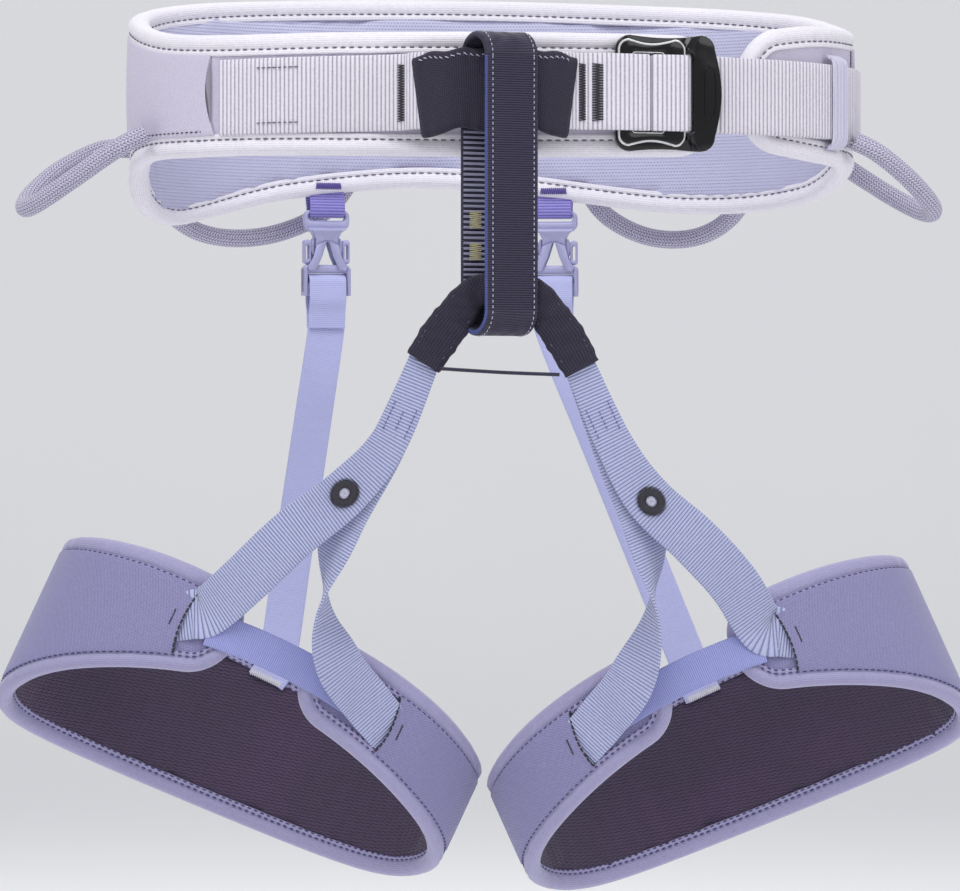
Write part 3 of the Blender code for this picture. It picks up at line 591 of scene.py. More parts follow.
# %% [markdown]
# ## Shared piece makers
# Webbing, bindings and threads are all a cross section drawn along a path. Webbing is thickened at each rib and
# thinned between, so its edge is really toothed. A seam's thread rises over the cloth for one stitch and dives
# under it at the next hole, as a lockstitch does, which makes a row of dashes from one long thread.


# %% Makers
def finished(piece, body, slot, material, *nodes):
    """Gives a piece its material, ties it to its body and lets it stand for its solids."""
    for made in (material if isinstance(material, list) else [material]):
        piece.data.materials.append(made)
    if nodes:
        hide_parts(*nodes)
    if body:
        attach(piece, body)


def strip(name, path, side, out, width, thick, pitch, depth):
    """A ribbon with rounded edges along a path and a rib every `pitch` metres, its UV read from the path."""
    flat = rounded(1.0, 0.002, 8, 3)
    edges = np.abs(flat[:, 0]) > 0.4991
    profile = np.empty((len(path), len(flat), 2))
    profile[..., 0] = flat[:, 0] * (np.broadcast_to(width, (len(path),))[:, None] - thick)
    lift = np.sign(flat[:, 1]) * ribs(path, pitch, depth)[:, None] * ~edges
    profile[..., 1] = flat[:, 1] / 0.001 * (thick / 2) + lift
    round_off = np.sqrt(np.clip(1 - (flat[:, 1] / 0.001) ** 2, 0, 1)) * thick / 2
    profile[:, edges, 0] += (np.sign(flat[:, 0]) * round_off)[edges]
    return paint(skin(name, swept(path, side, out, profile)), path, side)


def paint(piece, path, side):
    """Writes the UV map anew from the nearest place on a path: U along it and V across it."""
    co = places(piece)
    near = np.array([np.argmin(((path - point) ** 2).sum(axis=1)) for point in co])
    gap = co - path[near]
    way = unit(np.gradient(path, axis=0))[near]
    side = np.broadcast_to(side, path.shape)[near]
    write_uv(piece, run_length(path)[near] + np.einsum("ij,ij->i", gap, way), np.einsum("ij,ij->i", gap, side))
    return piece


def webbing(name, points, looks, width, thick, pitch, depth=0.00022):
    """Ribbed webbing through a few places, each with the way its face looks there and its width."""
    widths = np.broadcast_to(width, (len(points),))[:, None]
    rows = curve(np.hstack([np.array(points, float), np.array(looks, float), widths]), pitch / 6)
    path = rows[:, :3]
    side, out = frames(path, unit(rows[:, 3:6]))
    return strip(name, path, side, out, rows[:, 6], thick, pitch, depth), path, out


def thread(name, path, outs, pitch=0.0042, share=0.62, height=0.00022, radius=0.00028, slant=0.0):
    """One sewing thread: it lies on the cloth for `share` of each stitch and is under it for the rest."""
    fine = curve(np.hstack([path, np.broadcast_to(outs, path.shape)]), pitch / 8)
    spine, outs = fine[:, :3], unit(fine[:, 3:6])
    phase = (run_length(spine) / pitch) % 1.0
    bump = np.clip(np.sin(np.pi * np.clip(phase / share, 0, 1)) * 2.6, 0, 1)
    side = unit(np.cross(unit(np.gradient(spine, axis=0)), outs))
    spine = spine + outs * (bump * (height + radius * 1.6) - radius * 1.6)[:, None]
    spine = spine + side * (slant * (phase - 0.5))[:, None]
    profile = circle(radius, 6)[None] * (0.5 + 0.5 * bump)[:, None, None]
    return skin(name, swept(spine, side, outs, profile))


def zigzag(name, start, end, look, width, pitch, radius=0.00035, height=0.0002):
    """A bar tack: thread laid to and fro between two places."""
    count = max(int(np.linalg.norm(end - start) / pitch), 3) * 2
    way = unit(end - start)
    f = np.linspace(0, 1, count * 4 + 1)
    swing = 2 / np.pi * np.arcsin(np.sin(f * count * np.pi - np.pi / 2))
    spine = start + (end - start) * f[:, None] + np.cross(way, look) * (swing * width / 2)[:, None]
    dive = np.clip((np.abs(swing) - 0.8) / 0.2, 0, 1)
    spine = spine + look * (height + radius - dive * radius * 2.2)[:, None]
    return skin(name, swept(spine, way, look, circle(radius, 5)))


def joined(pieces, name):
    select_only(pieces[0])
    for piece in pieces[1:]:
        piece.select_set(True)
    if len(pieces) > 1:
        bpy.ops.object.join()
    made = bpy.context.object
    made.name = made.data.name = name
    return made


def inflate(piece, voxel, cap):
    """Blows a closed shape up as cloth, and holds every point within `cap` of where it began."""
    apply(piece, "REMESH", mode="VOXEL", voxel_size=voxel)
    start = places(piece)
    select_only(piece)
    cloth = piece.modifiers.new("Cloth", "CLOTH")
    cloth.settings.use_pressure = True
    cloth.settings.uniform_pressure_force = 4.0
    cloth.settings.effector_weights.gravity = 0
    cloth.settings.quality = 4
    cloth.point_cache.frame_end = 20
    for step in range(1, 21):
        bpy.context.scene.frame_set(step)
    bpy.ops.object.modifier_apply(modifier=cloth.name)
    bpy.context.scene.frame_set(1)
    moved = places(piece) - start
    far = np.linalg.norm(moved, axis=1, keepdims=True)
    put(piece, start + moved * np.minimum(1.0, cap / np.maximum(far, 1e-9)))
    print(piece.name, "would swell", round(float(far.max()) * 1000, 1), "mm")


def oval_uv(piece, oval, wrap=0.0):
    """UV from a place's angle and height on its oval, in metres. Angles under `wrap` count as a second turn."""
    angle, out, height = oval.read(places(piece))
    angle = np.where(angle < wrap, angle + 360, angle)
    write_uv(piece, oval.arc(angle), height)
    return angle, out, height


def rim_path(band, inset, count, ends=8):
    """The band's outline with its two ends filled in, so that points are never far apart."""
    angles, low, high = band.edges(inset, count)
    f = np.linspace(0, 1, ends + 2)[1:-1]
    last = low[-1] + (high[-1] - low[-1]) * f
    first = high[0] + (low[0] - high[0]) * f
    return (np.concatenate([angles, np.full(ends, angles[-1]), angles[::-1], np.full(ends, angles[0])]),
            np.concatenate([low, last, high[::-1], first]))


def binding(name, band, thick, count, crest, width):
    """A rolled edge: a round roll over the rim, a stitched groove, then a flat hem."""
    hem = width + 0.0032
    face = [(hem, -0.0002), (hem - 0.0003, 0.0006), (hem - 0.0010, 0.0008), (width + 0.0010, 0.0007),
            (width + 0.0003, 0.0001), (width - 0.0006, 0.0005), (width * 0.78, crest * 0.92),
            (width * 0.5, crest), (width * 0.25, crest * 0.35), (width * 0.08, -thick * 0.22)]
    profile = face + [(0.0, -thick / 2)] + [(inset, -thick - out) for inset, out in reversed(face)]
    rings = []
    for index, (inset, out) in enumerate(profile):
        angle, height = rim_path(band, inset, count)
        run = np.linspace(0, 1, len(angle)) * count
        pucker = 0.00016 * np.sin(run * 1.9 + index * 0.15) * np.cos(run * 0.37)
        swell = pucker * (0.5 + (0.3 < inset / width < 1.0))
        rings.append(band.oval.at(angle, out + np.sign(out + thick / 2) * swell, height))
    return skin(name, np.stack(rings, axis=1), loop_u=True)


def seam(name, band, inset, out, material, body, pitch=0.0042, radius=0.00028):
    """A line of stitches all round a band, drawn in by `inset`, on the face that `out` is nearer."""
    angle, height = rim_path(band, inset, 320)
    path, outs = band.oval.at(angle, out, height), band.oval.out(angle) * np.sign(out)
    path, outs = np.vstack([path, path[:1]]), np.vstack([outs, outs[:1]])
    finished(thread(name, path, outs, pitch, radius=radius), body, None, material)


def laid(name, oval, span, low, high, inner, outer, columns, rows, mouth=None, puff=0.0, gape=0.0):
    """A flat piece of cloth on an oval, its edges rounded; `mouth` bends its far end and `gape` opens it."""
    f = np.linspace(0, 1, columns)[:, None]
    v = np.linspace(0, 1, rows)
    turn = np.linspace(0, np.pi, 5)[1:-1]
    middle, reach = (inner + outer) / 2, (outer - inner) / 2
    out = np.concatenate([np.full(rows, outer), middle + reach * np.cos(turn),
                          np.full(rows, inner), middle - reach * np.cos(turn)])
    v = np.concatenate([v, np.ones(3), v[::-1], np.zeros(3)])
    edge = np.concatenate([np.zeros(rows), reach * np.sin(turn), np.zeros(rows), -reach * np.sin(turn)])
    bend = mouth(v) if mouth else np.zeros_like(v)
    angle = span[0] + (span[1] - span[0]) * f + bend * f ** 2
    bottom = low(angle)
    height = bottom + (high(angle) - bottom) * v + edge
    swell = puff * np.sin(np.pi * v) * np.sin(np.pi * np.clip(f, 0.02, 0.98)) * (out > middle)
    swell = swell + gape * np.sin(np.pi * v) ** 0.5 * f ** 5
    piece = skin(name, oval.at(angle, out + swell, height))
    oval_uv(piece, oval)
    return piece


def padding(name, band, thick, wrap, voxel, bulge, gap=0.0012):
    """Foam and lining as one closed shape, swollen as cloth and pressed flat where it lies under its shell."""
    angles, low, high = band.edges(0.0062, 150)
    v = np.linspace(0, 1, 12)
    out = np.concatenate([np.full(12, -gap - 0.0004), np.full(12, -thick + 0.0006)])
    height = low[:, None] + (high - low)[:, None] * np.concatenate([v, v[::-1]])
    piece = skin(name, band.oval.at(angles[:, None], out, height))
    inflate(piece, voxel, bulge)
    apply(piece, "SUBSURF", levels=1, render_levels=1)
    angle, out, height = oval_uv(piece, band.oval, wrap)
    put(piece, band.oval.at(angle, np.clip(out, -thick - bulge, -gap), height))
    select_only(piece)
    bpy.ops.object.shade_smooth()
    return piece


def shell_cloth(name, band, wrap):
    """The smooth cloth outside a band, with slight ripples where it is sewn down."""
    angles, low, high = (row[:, None] for row in band.edges(0.0078, 260))
    v = np.concatenate([np.linspace(0, 1, 12), np.linspace(1, 0, 12)])
    out = np.concatenate([np.full(12, 0.0), np.full(12, -0.0010)])
    ripple = 0.00018 * np.sin(angles * 1.7) * np.sin(v * 9.0 + angles * 0.3) * (out > -0.0005)
    piece = skin(name, band.oval.at(angles, out + ripple - 0.0001, low + (high - low) * v))
    oval_uv(piece, band.oval, wrap)
    return piece


print("makers ready")

# %% [markdown]
# ## The waist belt
# The belt is a sheet of foam between a knitted mesh inside and a smooth shell outside, with a stretch tape
# rolled round its edge. The padding is blown up a little as cloth, so that it crowns between its seams. The
# side that lies against the shell is then pressed flat again, as the webbing's pull presses it.

# %% Belt padding and shell
belt_pad = padding("waist_pad", WAIST_BAND, WAIST_THICK, 40, 0.0040, 0.0026)
finished(belt_pad, "belt", "belt_lining", MESH_WAIST, "waist_lining", "waist_foam")
finished(shell_cloth("waist_cover", WAIST_BAND, 40), "belt", "belt_shell", SHELL_WAIST, "waist_shell")
print("belt padding:", len(belt_pad.data.polygons), "faces")

# %% Belt binding and its stitches
roll = binding("waist_binding_roll", WAIST_BAND, WAIST_THICK, 420, 0.0012, 0.0076)
finished(roll, "belt", "belt_binding", BIND_WAIST, "waist_binding")
seam("waist_seam_outer", WAIST_BAND, 0.0078, 0.0003, THREADS["grey"], "belt")
seam("waist_seam_inner", WAIST_BAND, 0.0078, -WAIST_THICK - 0.0003, THREADS["grey"], "belt")
print("belt binding:", len(roll.data.polygons), "faces")

# %% [markdown]
# ## Hip pockets
# At each hip a smooth panel covers the end of the webbing and the roots of the gear loop. Its mouth is a
# shallow curve, because the cloth is cut that way to spread the pull.

# %% Hip pockets
MARGIN = 0.0105
for side, span, bow, ends in (("left", (252, 311.2), -1.6, (274, 309)), ("right", (83, 116), 0.0, (85, 100))):
    panel = laid(f"hip_pocket_{side}", WAIST, span, lambda a: np.maximum(-0.0185, belt_low(a) + MARGIN),
                 lambda a: belt_high(a) - MARGIN, 0.0004, 0.0016, 60, 16,
                 mouth=lambda v: bow * np.sin(np.pi * v) + 0.9 * (1 - v), puff=0.0007)
    finished(panel, "belt", "belt_shell", SHELL_WAIST, f"hip_panel_{side}")
    at = np.linspace(*ends, 40)
    stitch = thread(f"hip_pocket_stitch_{side}", WAIST.at(at, 0.0017, -0.0160), WAIST.out(at), 0.0030)
    finished(stitch, "belt", None, THREADS["seam"])
print("hip pockets ready")

# %% [markdown]
# ## Waist webbing
# One webbing leaves the left pocket and stops at the tie-in sleeve, where a dark zigzag of thread holds it.
# A second runs from the sleeve round the buckle's bar. The strap comes from the right hip through the buckle,
# turns back over its bar and runs under the keeper. The ribs are modelled, about 2.2 mm apart.


# %% Waist webbing
def belt_frame(angle, out=0.0):
    """Where the belt is at an angle, and the ways along it and out of it."""
    turn = math.radians(angle)
    along = unit(WAIST.along * math.cos(turn) * WAIST.a + BACK * math.sin(turn) * WAIST.b)
    return WAIST.at(angle, out), along, WAIST.out(angle)


def across_belt(points):
    """Which way webbing faces that stands on edge along a level path."""
    way = unit(np.gradient(np.array(points), axis=0))
    return np.stack([way[:, 1], -way[:, 0], np.zeros(len(way))], axis=1)


BUCKLE = BUCKLE_AT, BUCKLE_ALONG, BUCKLE_OUT = belt_frame(27.2)


def on_buckle(along, out, height=0.0):
    return BUCKLE_AT + BUCKLE_ALONG * along + BUCKLE_OUT * out + UP * height


left_route = [WAIST.at(a, 0.0014) for a in (313.5, 320, 328, 336, 342)]
left_route += [WAIST.at(346.5, 0.0055), np.array((-0.0358, -0.1030, 0)), np.array((-0.0285, -0.1088, 0))]
loop_route = ((-0.0375, 0.0088), (-0.0320, 0.0098), (-0.0240, 0.0100), (-0.0160, 0.0100), (-0.0115, 0.0098),
              (-0.0098, 0.0080), (-0.0098, 0.0040), (-0.0118, 0.0014), (-0.0170, 0.0012), (-0.0240, 0.0008))
right_route = [np.array((0.0355, -0.1098, 0)), np.array((0.0436, -0.1030, 0))]
right_route += [on_buckle(*place) for place in loop_route]
under = ((82.2, 0.0015), (74, 0.0015), (66, 0.0015), (58, 0.0018), (50, 0.0025), (42, 0.0026), (36, 0.0025),
         (31, 0.0018))
turn_route = ((-0.0010, 0.0016), (-0.0062, 0.0016), (-0.0076, 0.0030), (-0.0076, 0.0080), (-0.0060, 0.0098),
              (0.0000, 0.0100), (0.0076, 0.0098), (0.0102, 0.0084), (0.0108, 0.0064), (0.0126, 0.0050),
              (0.0190, 0.0048), (0.0280, 0.0052))
tail = ((40, 0.0056), (48, 0.0054), (56, 0.0050), (64, 0.0046), (72, 0.0042), (80, 0.0040), (87, 0.0040))
strap_route = [WAIST.at(*place) for place in under]
strap_route += [on_buckle(*place) for place in turn_route] + [WAIST.at(*place) for place in tail]
lines = {}
for name, route, node in (("waist_web_left", left_route, "waist_webbing_left"),
                          ("waist_web_right", right_route, "waist_webbing_right"),
                          ("waist_web_strap", strap_route, "waist_strap")):
    piece, path, faces = webbing(name, route, across_belt(route), 0.0365, 0.0016, 0.0022)
    lines[name] = path, faces
    finished(piece, "belt", "waist_webbing", WHITE_WEB, node)
    print(name, round(float(run_length(path)[-1]) * 1000), "mm,", len(piece.data.polygons), "faces")

# %% Stitches on the waist webbing
at = np.linspace(321.5, 329.5, 30)
rows = [thread("row", WAIST.at(at, 0.0025, height), WAIST.out(at), 0.0028) for height in (0.0135, -0.0130)]
finished(joined(rows, "webbing_rows"), "belt", None, THREADS["grey"])

tacks = []
for name, x, wide in (("waist_web_left", -0.0400, 0.0046), ("waist_web_right", 0.0456, 0.0040),
                      ("waist_web_right", 0.0530, 0.0054)):
    path, faces = lines[name]
    far = np.abs(path[:, 0] - x)
    far[path[:, 1] > -0.085] = 1.0
    at = int(np.argmin(far[:len(path) // 2] if x > 0 else far))
    place = path[at] + faces[at] * 0.0008
    tacks.append(zigzag("tack", place - UP * 0.0140, place + UP * 0.0130, faces[at], wide, 0.0012, 0.0003))
finished(joined(tacks, "webbing_bar_tacks"), "belt", None, THREADS["dark"])
print("stitches ready")

# %% [markdown]
# ## Tie-in sleeve
# A dark, hard-wearing tube of cloth covers the webbing where the belay loop rubs. It is cut as a trapezoid with a
# raised middle, and a pale zigzag runs along its top edge.

# %% Waist sleeve
FRONT = -0.1160
MIDDLE = 0.004
centres = [(-0.0345, -0.1040, 0), (-0.0270, -0.1100, 0), (-0.0180, FRONT + 0.0004, 0), (-0.0060, FRONT, 0),
           (0.0080, FRONT, 0), (0.0220, FRONT, 0), (0.0340, -0.1110, 0), (0.0424, -0.1040, 0)]
rows = curve(np.hstack([centres, across_belt(centres)]), 0.0009)
path, faces = rows[:, :3], unit(rows[:, 3:6])
x = path[:, 0]
top = 0.0195 - 2.0 * (x - MIDDLE) ** 2 + 0.0006 * np.sin(x * 420)
bottom = -0.0205 + 0.0022 * np.exp(-((np.abs(x - MIDDLE) - 0.018) / 0.008) ** 2)
profile = rounded(2.0, 0.30, 14, 5)
height = (top + bottom)[:, None] / 2 + (top - bottom)[:, None] / 2 * profile[:, 0]
crease = 0.00035 * np.sin(x * 900)[:, None] * np.clip(np.abs(profile[:, 0]) - 0.2, 0, 1)
out = profile[:, 1] / 0.15 * 0.0025 + np.sign(profile[:, 1]) * crease
sleeve = skin("waist_sleeve", path[:, None] + faces[:, None] * out[..., None] + UP * height[..., None])
shape = places(sleeve)
drop = np.clip((0.0190 - shape[:, 2]) / 0.038, 0, 1)
inward = shape[:, 0] + (MIDDLE - shape[:, 0]) * 0.13 * drop
shape[:, 1] += np.interp(inward, x, path[:, 1]) - np.interp(shape[:, 0], x, path[:, 1])
shape[:, 0] = inward
shape[:, 2] -= 0.0022 * np.clip((np.abs(inward - MIDDLE) - 0.018) / 0.014, 0, 1) * drop
put(sleeve, shape)
finished(sleeve, "belt", "tie_in_sleeve", SLEEVE, "waist_tie_in_sleeve")
inside = slice(6, -6)
edge = path[inside] + faces[inside] * 0.0026 + UP * (top[inside, None] - 0.0035)
stitch = thread("waist_sleeve_stitch", edge, faces[inside], 0.0030, slant=0.0016)
finished(stitch, "belt", None, THREADS["pale"])
print("waist sleeve ready")

# %% [markdown]
# ## Keepers
# Two loops of elastic hold the strap down: one over its tail, and a smaller one on the belt's rear top edge.

# %% Keepers
at = np.linspace(64.3, 69.8, 14)
half = 0.0196
route = [(0.0022, -half - 0.0032), (0.0040, -half - 0.0022), (0.0066, -half + 0.0004), (0.0069, -0.010),
         (0.0070, 0.0), (0.0069, 0.010), (0.0066, half - 0.0004), (0.0040, half + 0.0022), (0.0022, half + 0.0032)]
line = curve([(out, height, 0.0) for out, height in route], 0.0012)[:, :2]
normal = unit(np.stack([np.gradient(line[:, 1]), -np.gradient(line[:, 0])], axis=1))
rib = 0.00012 * np.sin(np.linspace(0, len(at), len(at)) * 2.4)[:, None, None]
outer = line + normal * (0.0005 + rib)
inner = (line - normal * 0.0005)[None].repeat(len(at), axis=0)
ring = np.concatenate([outer, inner[:, ::-1]], axis=1)
keeper = skin("strap_keeper", WAIST.at(at[:, None], ring[..., 0], ring[..., 1]))
oval_uv(keeper, WAIST)
finished(keeper, "belt", "elastic", KEEPER, "belt_keeper")
small = laid("rear_keeper_loop", WAIST, (122, 131), lambda a: belt_high(a) - 0.016, lambda a: belt_high(a) - 0.001,
             0.0016, 0.0027, 20, 10)
finished(small, "belt", "elastic", KEEPER, "rear_keeper")
print("keepers ready")

# %% [markdown]
# ## The waist buckle
# The buckle is two forged plates. The frame carries a thick bar whose right side swells, and the slider lies on
# it. Each is swept as a ring between its outline and its window, with chamfered edges. The slider's chamfer has
# been polished bare.


# %% Buckle makers
def rounded_box(left, right, low, high, radius, waist=0.0, bulge=0.0):
    """A rectangle with round corners, its long sides drawn in by `waist` and its right side let out."""
    points = []
    corners = ((right - radius, high - radius, 0), (left + radius, high - radius, 90),
               (left + radius, low + radius, 180), (right - radius, low + radius, 270))
    for index, (x, z, start) in enumerate(corners):
        for k in range(6):
            turn = math.radians(start + 18 * k)
            points.append((x + radius * math.cos(turn), z + radius * math.sin(turn)))
        after = corners[(index + 1) % 4]
        turn = math.radians(start + 90)
        for k in range(1, 12):
            f = k / 12
            sag = math.sin(math.pi * f)
            x1 = x + (after[0] - x) * f + radius * math.cos(turn)
            z1 = z + (after[1] - z) * f + radius * math.sin(turn)
            if index in (0, 2):
                z1 -= math.copysign(waist * sag, z1)
            if index == 3:
                x1 += bulge * sag
            points.append((x1, z1))
    return np.array(points)


def on_plane(plane, flat, out):
    """Places from (along, height) pairs on a plane, set `out` of it."""
    origin, along, outwards = plane
    return origin + flat[..., :1] * along + flat[..., 1:] * UP + out * outwards


def ring_plate(name, plane, outer, inner, low, high, chamfer):
    """A plate with a window, from its outline, its window's outline and its thickness at each point."""
    low, high = (np.broadcast_to(level, len(outer)) for level in (low, high))
    way = unit(inner - outer)
    edges = [[(near, low + chamfer), (near, high - chamfer),
              (near + far * chamfer * 0.35, high - chamfer * 0.35), (near + far * chamfer, high)]
             for near, far in ((outer, way), (inner, -way))]
    rings = edges[0] + edges[1][::-1] + [(inner - way * chamfer, low), (outer + way * chamfer, low)]
    placed = np.stack([on_plane(plane, flat, out[:, None]) for flat, out in rings], axis=1)
    return skin(name, placed, loop_u=True)


# %% Buckle
WINDOW = rounded_box(-0.0192, 0.0121, -0.0192, 0.0192, 0.0022)
rail = rounded_box(-0.0255, 0.0226, -0.0278, 0.0278, 0.0070, bulge=0.0034, waist=0.0012)
bar = np.clip((rail[:, 0] - 0.0115) / 0.004, 0, 1)
bar = bar * bar * (3 - 2 * bar)
buckle = ring_plate("buckle_body", BUCKLE, rail, WINDOW, 0.0027 + bar * 0.0034, 0.0060 + bar * 0.0052, 0.0007)
finished(buckle, "belt", "buckle_metal", ALLOY, "buckle_frame")

SLOT = rounded_box(-0.0182, -0.0022, -0.0192, 0.0192, 0.0016)
plate = rounded_box(-0.0252, 0.0080, -0.0254, 0.0254, 0.0048, waist=0.0022)
slider = ring_plate("buckle_slide_plate", BUCKLE, plate, SLOT, 0.0064, 0.0087, 0.0008)
finished(slider, "buckle_slider", "buckle_metal", [ALLOY, BARE], "buckle_slider")
rim = rounded_box(0.0172, 0.0222, -0.0125, 0.0125, 0.0024, bulge=0.0006)
for name, flat, out, radius, body, metal in (
        ("buckle_slide_edge", plate * 0.985, 0.00845, 0.00060, "buckle_slider", BARE),
        ("buckle_slot_edge", SLOT, 0.0084, 0.00042, "buckle_slider", BARE),
        ("buckle_bar_rim", rim, 0.01115, 0.00035, "belt", ALLOY)):
    edge = wire(name, on_plane(BUCKLE, flat, out), BUCKLE_OUT, radius, 6, closed=True)
    finished(edge, body, None, metal)
print("buckle ready")

# %% [markdown]
# ## The belay loop
# One long loop of dense webbing, sewn to itself. Its front strand shows the ribbed face and a row of stitches by
# each edge, with a blue selvedge. Its rear strand shows the pale bars where the two ends are sewn together.

# %% Belay loop
TURN = math.radians(20.0)
BELAY_SIDE = np.array((math.cos(TURN), math.sin(TURN), 0))
BELAY_DEPTH = np.array((-math.sin(TURN), math.cos(TURN), 0))
BELAY_AXIS = np.array((0.008, FRONT, 0.0))
BELAY_TOP, BELAY_BOTTOM, BELAY_RADIUS = 0.0145, -0.1041, 0.01075
BELAY_SKEW = 0.0042
BELAY_PITCH = 0.0011


def belay_path(spacing):
    """The loop's middle line and the way it faces, from the top of the front strand downwards."""
    z = np.linspace(BELAY_TOP, BELAY_BOTTOM, int((BELAY_TOP - BELAY_BOTTOM) / spacing), endpoint=False)
    turn = np.linspace(0, np.pi, int(math.pi * BELAY_RADIUS / spacing), endpoint=False)
    flat, cos, sin = 0 * z, np.cos(turn), np.sin(turn)
    rows = [(flat - 1, z, flat - 1, flat), (-cos, BELAY_BOTTOM - BELAY_RADIUS * sin, -cos, -sin),
            (flat + 1, z[::-1], flat + 1, flat), (cos, BELAY_TOP + BELAY_RADIUS * sin, cos, sin)]
    deep, high, look, rise = (np.concatenate(column)[:, None] for column in zip(*rows))
    skew = -BELAY_SKEW * (deep + 1) / 2
    return (BELAY_AXIS + BELAY_RADIUS * deep * BELAY_DEPTH + high * UP + skew * BELAY_SIDE,
            unit(look * BELAY_DEPTH + rise * UP))


path, faces = belay_path(BELAY_PITCH / 5)
profile = rounded(0.0264, 0.0030, 12, 5)
grown = np.repeat(profile[None], len(path), axis=0)
grown[..., 1] += np.sign(profile[:, 1]) * (np.abs(profile[:, 1]) > 1e-5) * ribs(path, BELAY_PITCH, 0.00014)[:, None]
belay = paint(skin("belay_webbing_loop", swept(path, BELAY_SIDE, faces, grown), loop_u=True), path, BELAY_SIDE)
finished(belay, "belay_loop", "belay_webbing", BELAY, "belay_loop")
print("belay loop:", round(float(run_length(path)[-1]) * 1000), "mm round")

# %% Belay stitching
loop, looks = (np.vstack([row, row[:1]]) for row in belay_path(0.002))
rows = [thread("row", loop + BELAY_SIDE * across + looks * 0.0016, looks, 0.0026, share=0.55, radius=0.00022)
        for across in (-0.0098, 0.0108)]
finished(joined(rows, "belay_edge_rows"), "belay_loop", None, THREADS["pale"])
rear = BELAY_AXIS + BELAY_DEPTH * (BELAY_RADIUS + 0.0017) - BELAY_SIDE * BELAY_SKEW
inner = BELAY_AXIS + BELAY_DEPTH * (BELAY_RADIUS - 0.0018) - BELAY_SIDE * BELAY_SKEW
bars = []
across = BELAY_SIDE * np.linspace(-0.0124, 0.0124, 12)[:, None]
for k in range(42):
    for base, way in ((rear, BELAY_DEPTH), (inner, -BELAY_DEPTH)):
        line = base + UP * (0.010 - 0.0025 * k) + across - way * 0.0001
        bars.append(skin("bar", swept(line, *frames(line, way), rounded(0.0013, 0.0005, 2, 2))))
finished(joined(bars, "belay_bars"), "belay_loop", None, THREADS["bar"])
spots = []
for z in (-0.0615, -0.0765):
    spot = inner + UP * z - BELAY_SIDE * 0.0065
    spots.append(zigzag("spot", spot - UP * 0.004, spot + UP * 0.004, -BELAY_DEPTH, 0.0060, 0.0009, 0.00024))
finished(joined(spots, "belay_label_tacks"), "belay_loop", None, THREADS["sand"])
print("belay stitching ready")

# %% [markdown]
# ## Leg tie-in sleeve and bridge cord
# Both leg loops hang from one short arch of webbing in a dark sleeve, which runs through the belay loop. The
# sleeve is gathered where it bends. A thin elastic cord joins its two ends below.

# %% Leg sleeve
route = ((-0.0298, -0.1119, -0.1288, 0.0176), (-0.0225, -0.1138, -0.1176, 0.0190),
         (-0.0160, -0.1158, -0.1090, 0.0184), (-0.0055, FRONT, -0.0960, 0.0148), (0.0080, FRONT, -0.0942, 0.0134),
         (0.0215, FRONT, -0.0960, 0.0148), (0.0320, -0.1138, -0.1100, 0.0184), (0.0385, -0.1122, -0.1196, 0.0190),
         (0.0452, -0.1114, -0.1318, 0.0176))
rows = curve(route, 0.0008)
path, wide = rows[:, :3], rows[:, 3:]
side, out = frames(path, -BACK)
profile = rounded(1.0, 0.16, 14, 5)
run, across = run_length(path)[:, None], profile[:, 0]
share = np.clip(run / run[-1], 0.04, 0.96)
inward = share * (1 - share) * 4
folds = np.sin(run * 560 + across * 5) + 0.7 * np.sin(run * 930 - across * 9 + 1.3)
folds = 0.00034 * folds * inward ** 0.4
crown = 0.0015 * np.sqrt(np.clip(1 - (2 * across) ** 2, 0, 1)) * inward ** 0.5
body = np.stack([across * wide * (1.02 + 0.022 * np.sin(run * 610) + 0.014 * np.sin(run * 1130)),
                 profile[:, 1] / 0.08 * 0.0019 + np.sign(profile[:, 1]) * (folds + crown)], axis=-1)
sleeve = skin("leg_sleeve", swept(path, side, out, body))
finished(sleeve, "belt", "tie_in_sleeve", SLEEVE, "leg_tie_in_sleeve")
inside = slice(8, -8)
path, wide, side, out = path[inside], wide[inside], side[inside], out[inside]
rows = [thread("row", path + side * sign * (wide / 2 - 0.0022) + out * 0.0021, out, 0.0030, radius=0.00022)
        for sign in (-1, 1)]
finished(joined(rows, "leg_sleeve_stitches"), "belt", None, THREADS["grey"])
line = [(-0.0215, -0.1158, -0.1318), (0.0080, -0.1152, -0.1336), (0.0345, -0.1146, -0.1346)]
finished(wire("bridge_cord", curve(line, 0.0006), UP, 0.0009, 10), "belt", "bridge_elastic", CORD, "leg_bridge_cord")
print("leg sleeve ready")

# %% [markdown]
# ## Gear loops
# Two stiff loops stand out at the hips and two hang at the back. Each is a braided sheath over a core, with its
# ends sewn under the pocket or under a small tab.


# %% Gear loops
def gear_loop(place, side, points):
    loop = wire(f"gear_braid_{place}_{side}", curve(points, 0.0012), UP, 0.0047, 24)
    finished(loop, f"gear_{place}_{side}", "gear_cord", BRAID, f"gear_loop_{place}_{side}")


ROOT = 0.0068
run = np.array((0.0, 0.27, 0.64, 0.91, 1.0, 0.91, 0.64, 0.27, 0.0))
swing = np.array((0.0, 0.01, 0.14, 0.32, 0.50, 0.68, 0.86, 0.99, 1.0))
bow = np.array((0.0, -0.15, -0.35, -0.30, 0.0, 0.55, 0.90, 0.70, 0.0))
for side, ends, heights, reach, fall, spread in (("left", (295, 257), (-0.015, -0.018), -0.057, -0.033, 0.0090),
                                                 ("right", (74, 108), (-0.018, -0.024), 0.043, -0.030, -0.0026)):
    first, last = WAIST.at(ends, ROOT, heights)
    points = first + (last - first) * swing[:, None]
    points[:, 0] += reach * run
    points[:, 2] += fall * run ** 1.2 + spread * bow
    gear_loop("front", side, points)

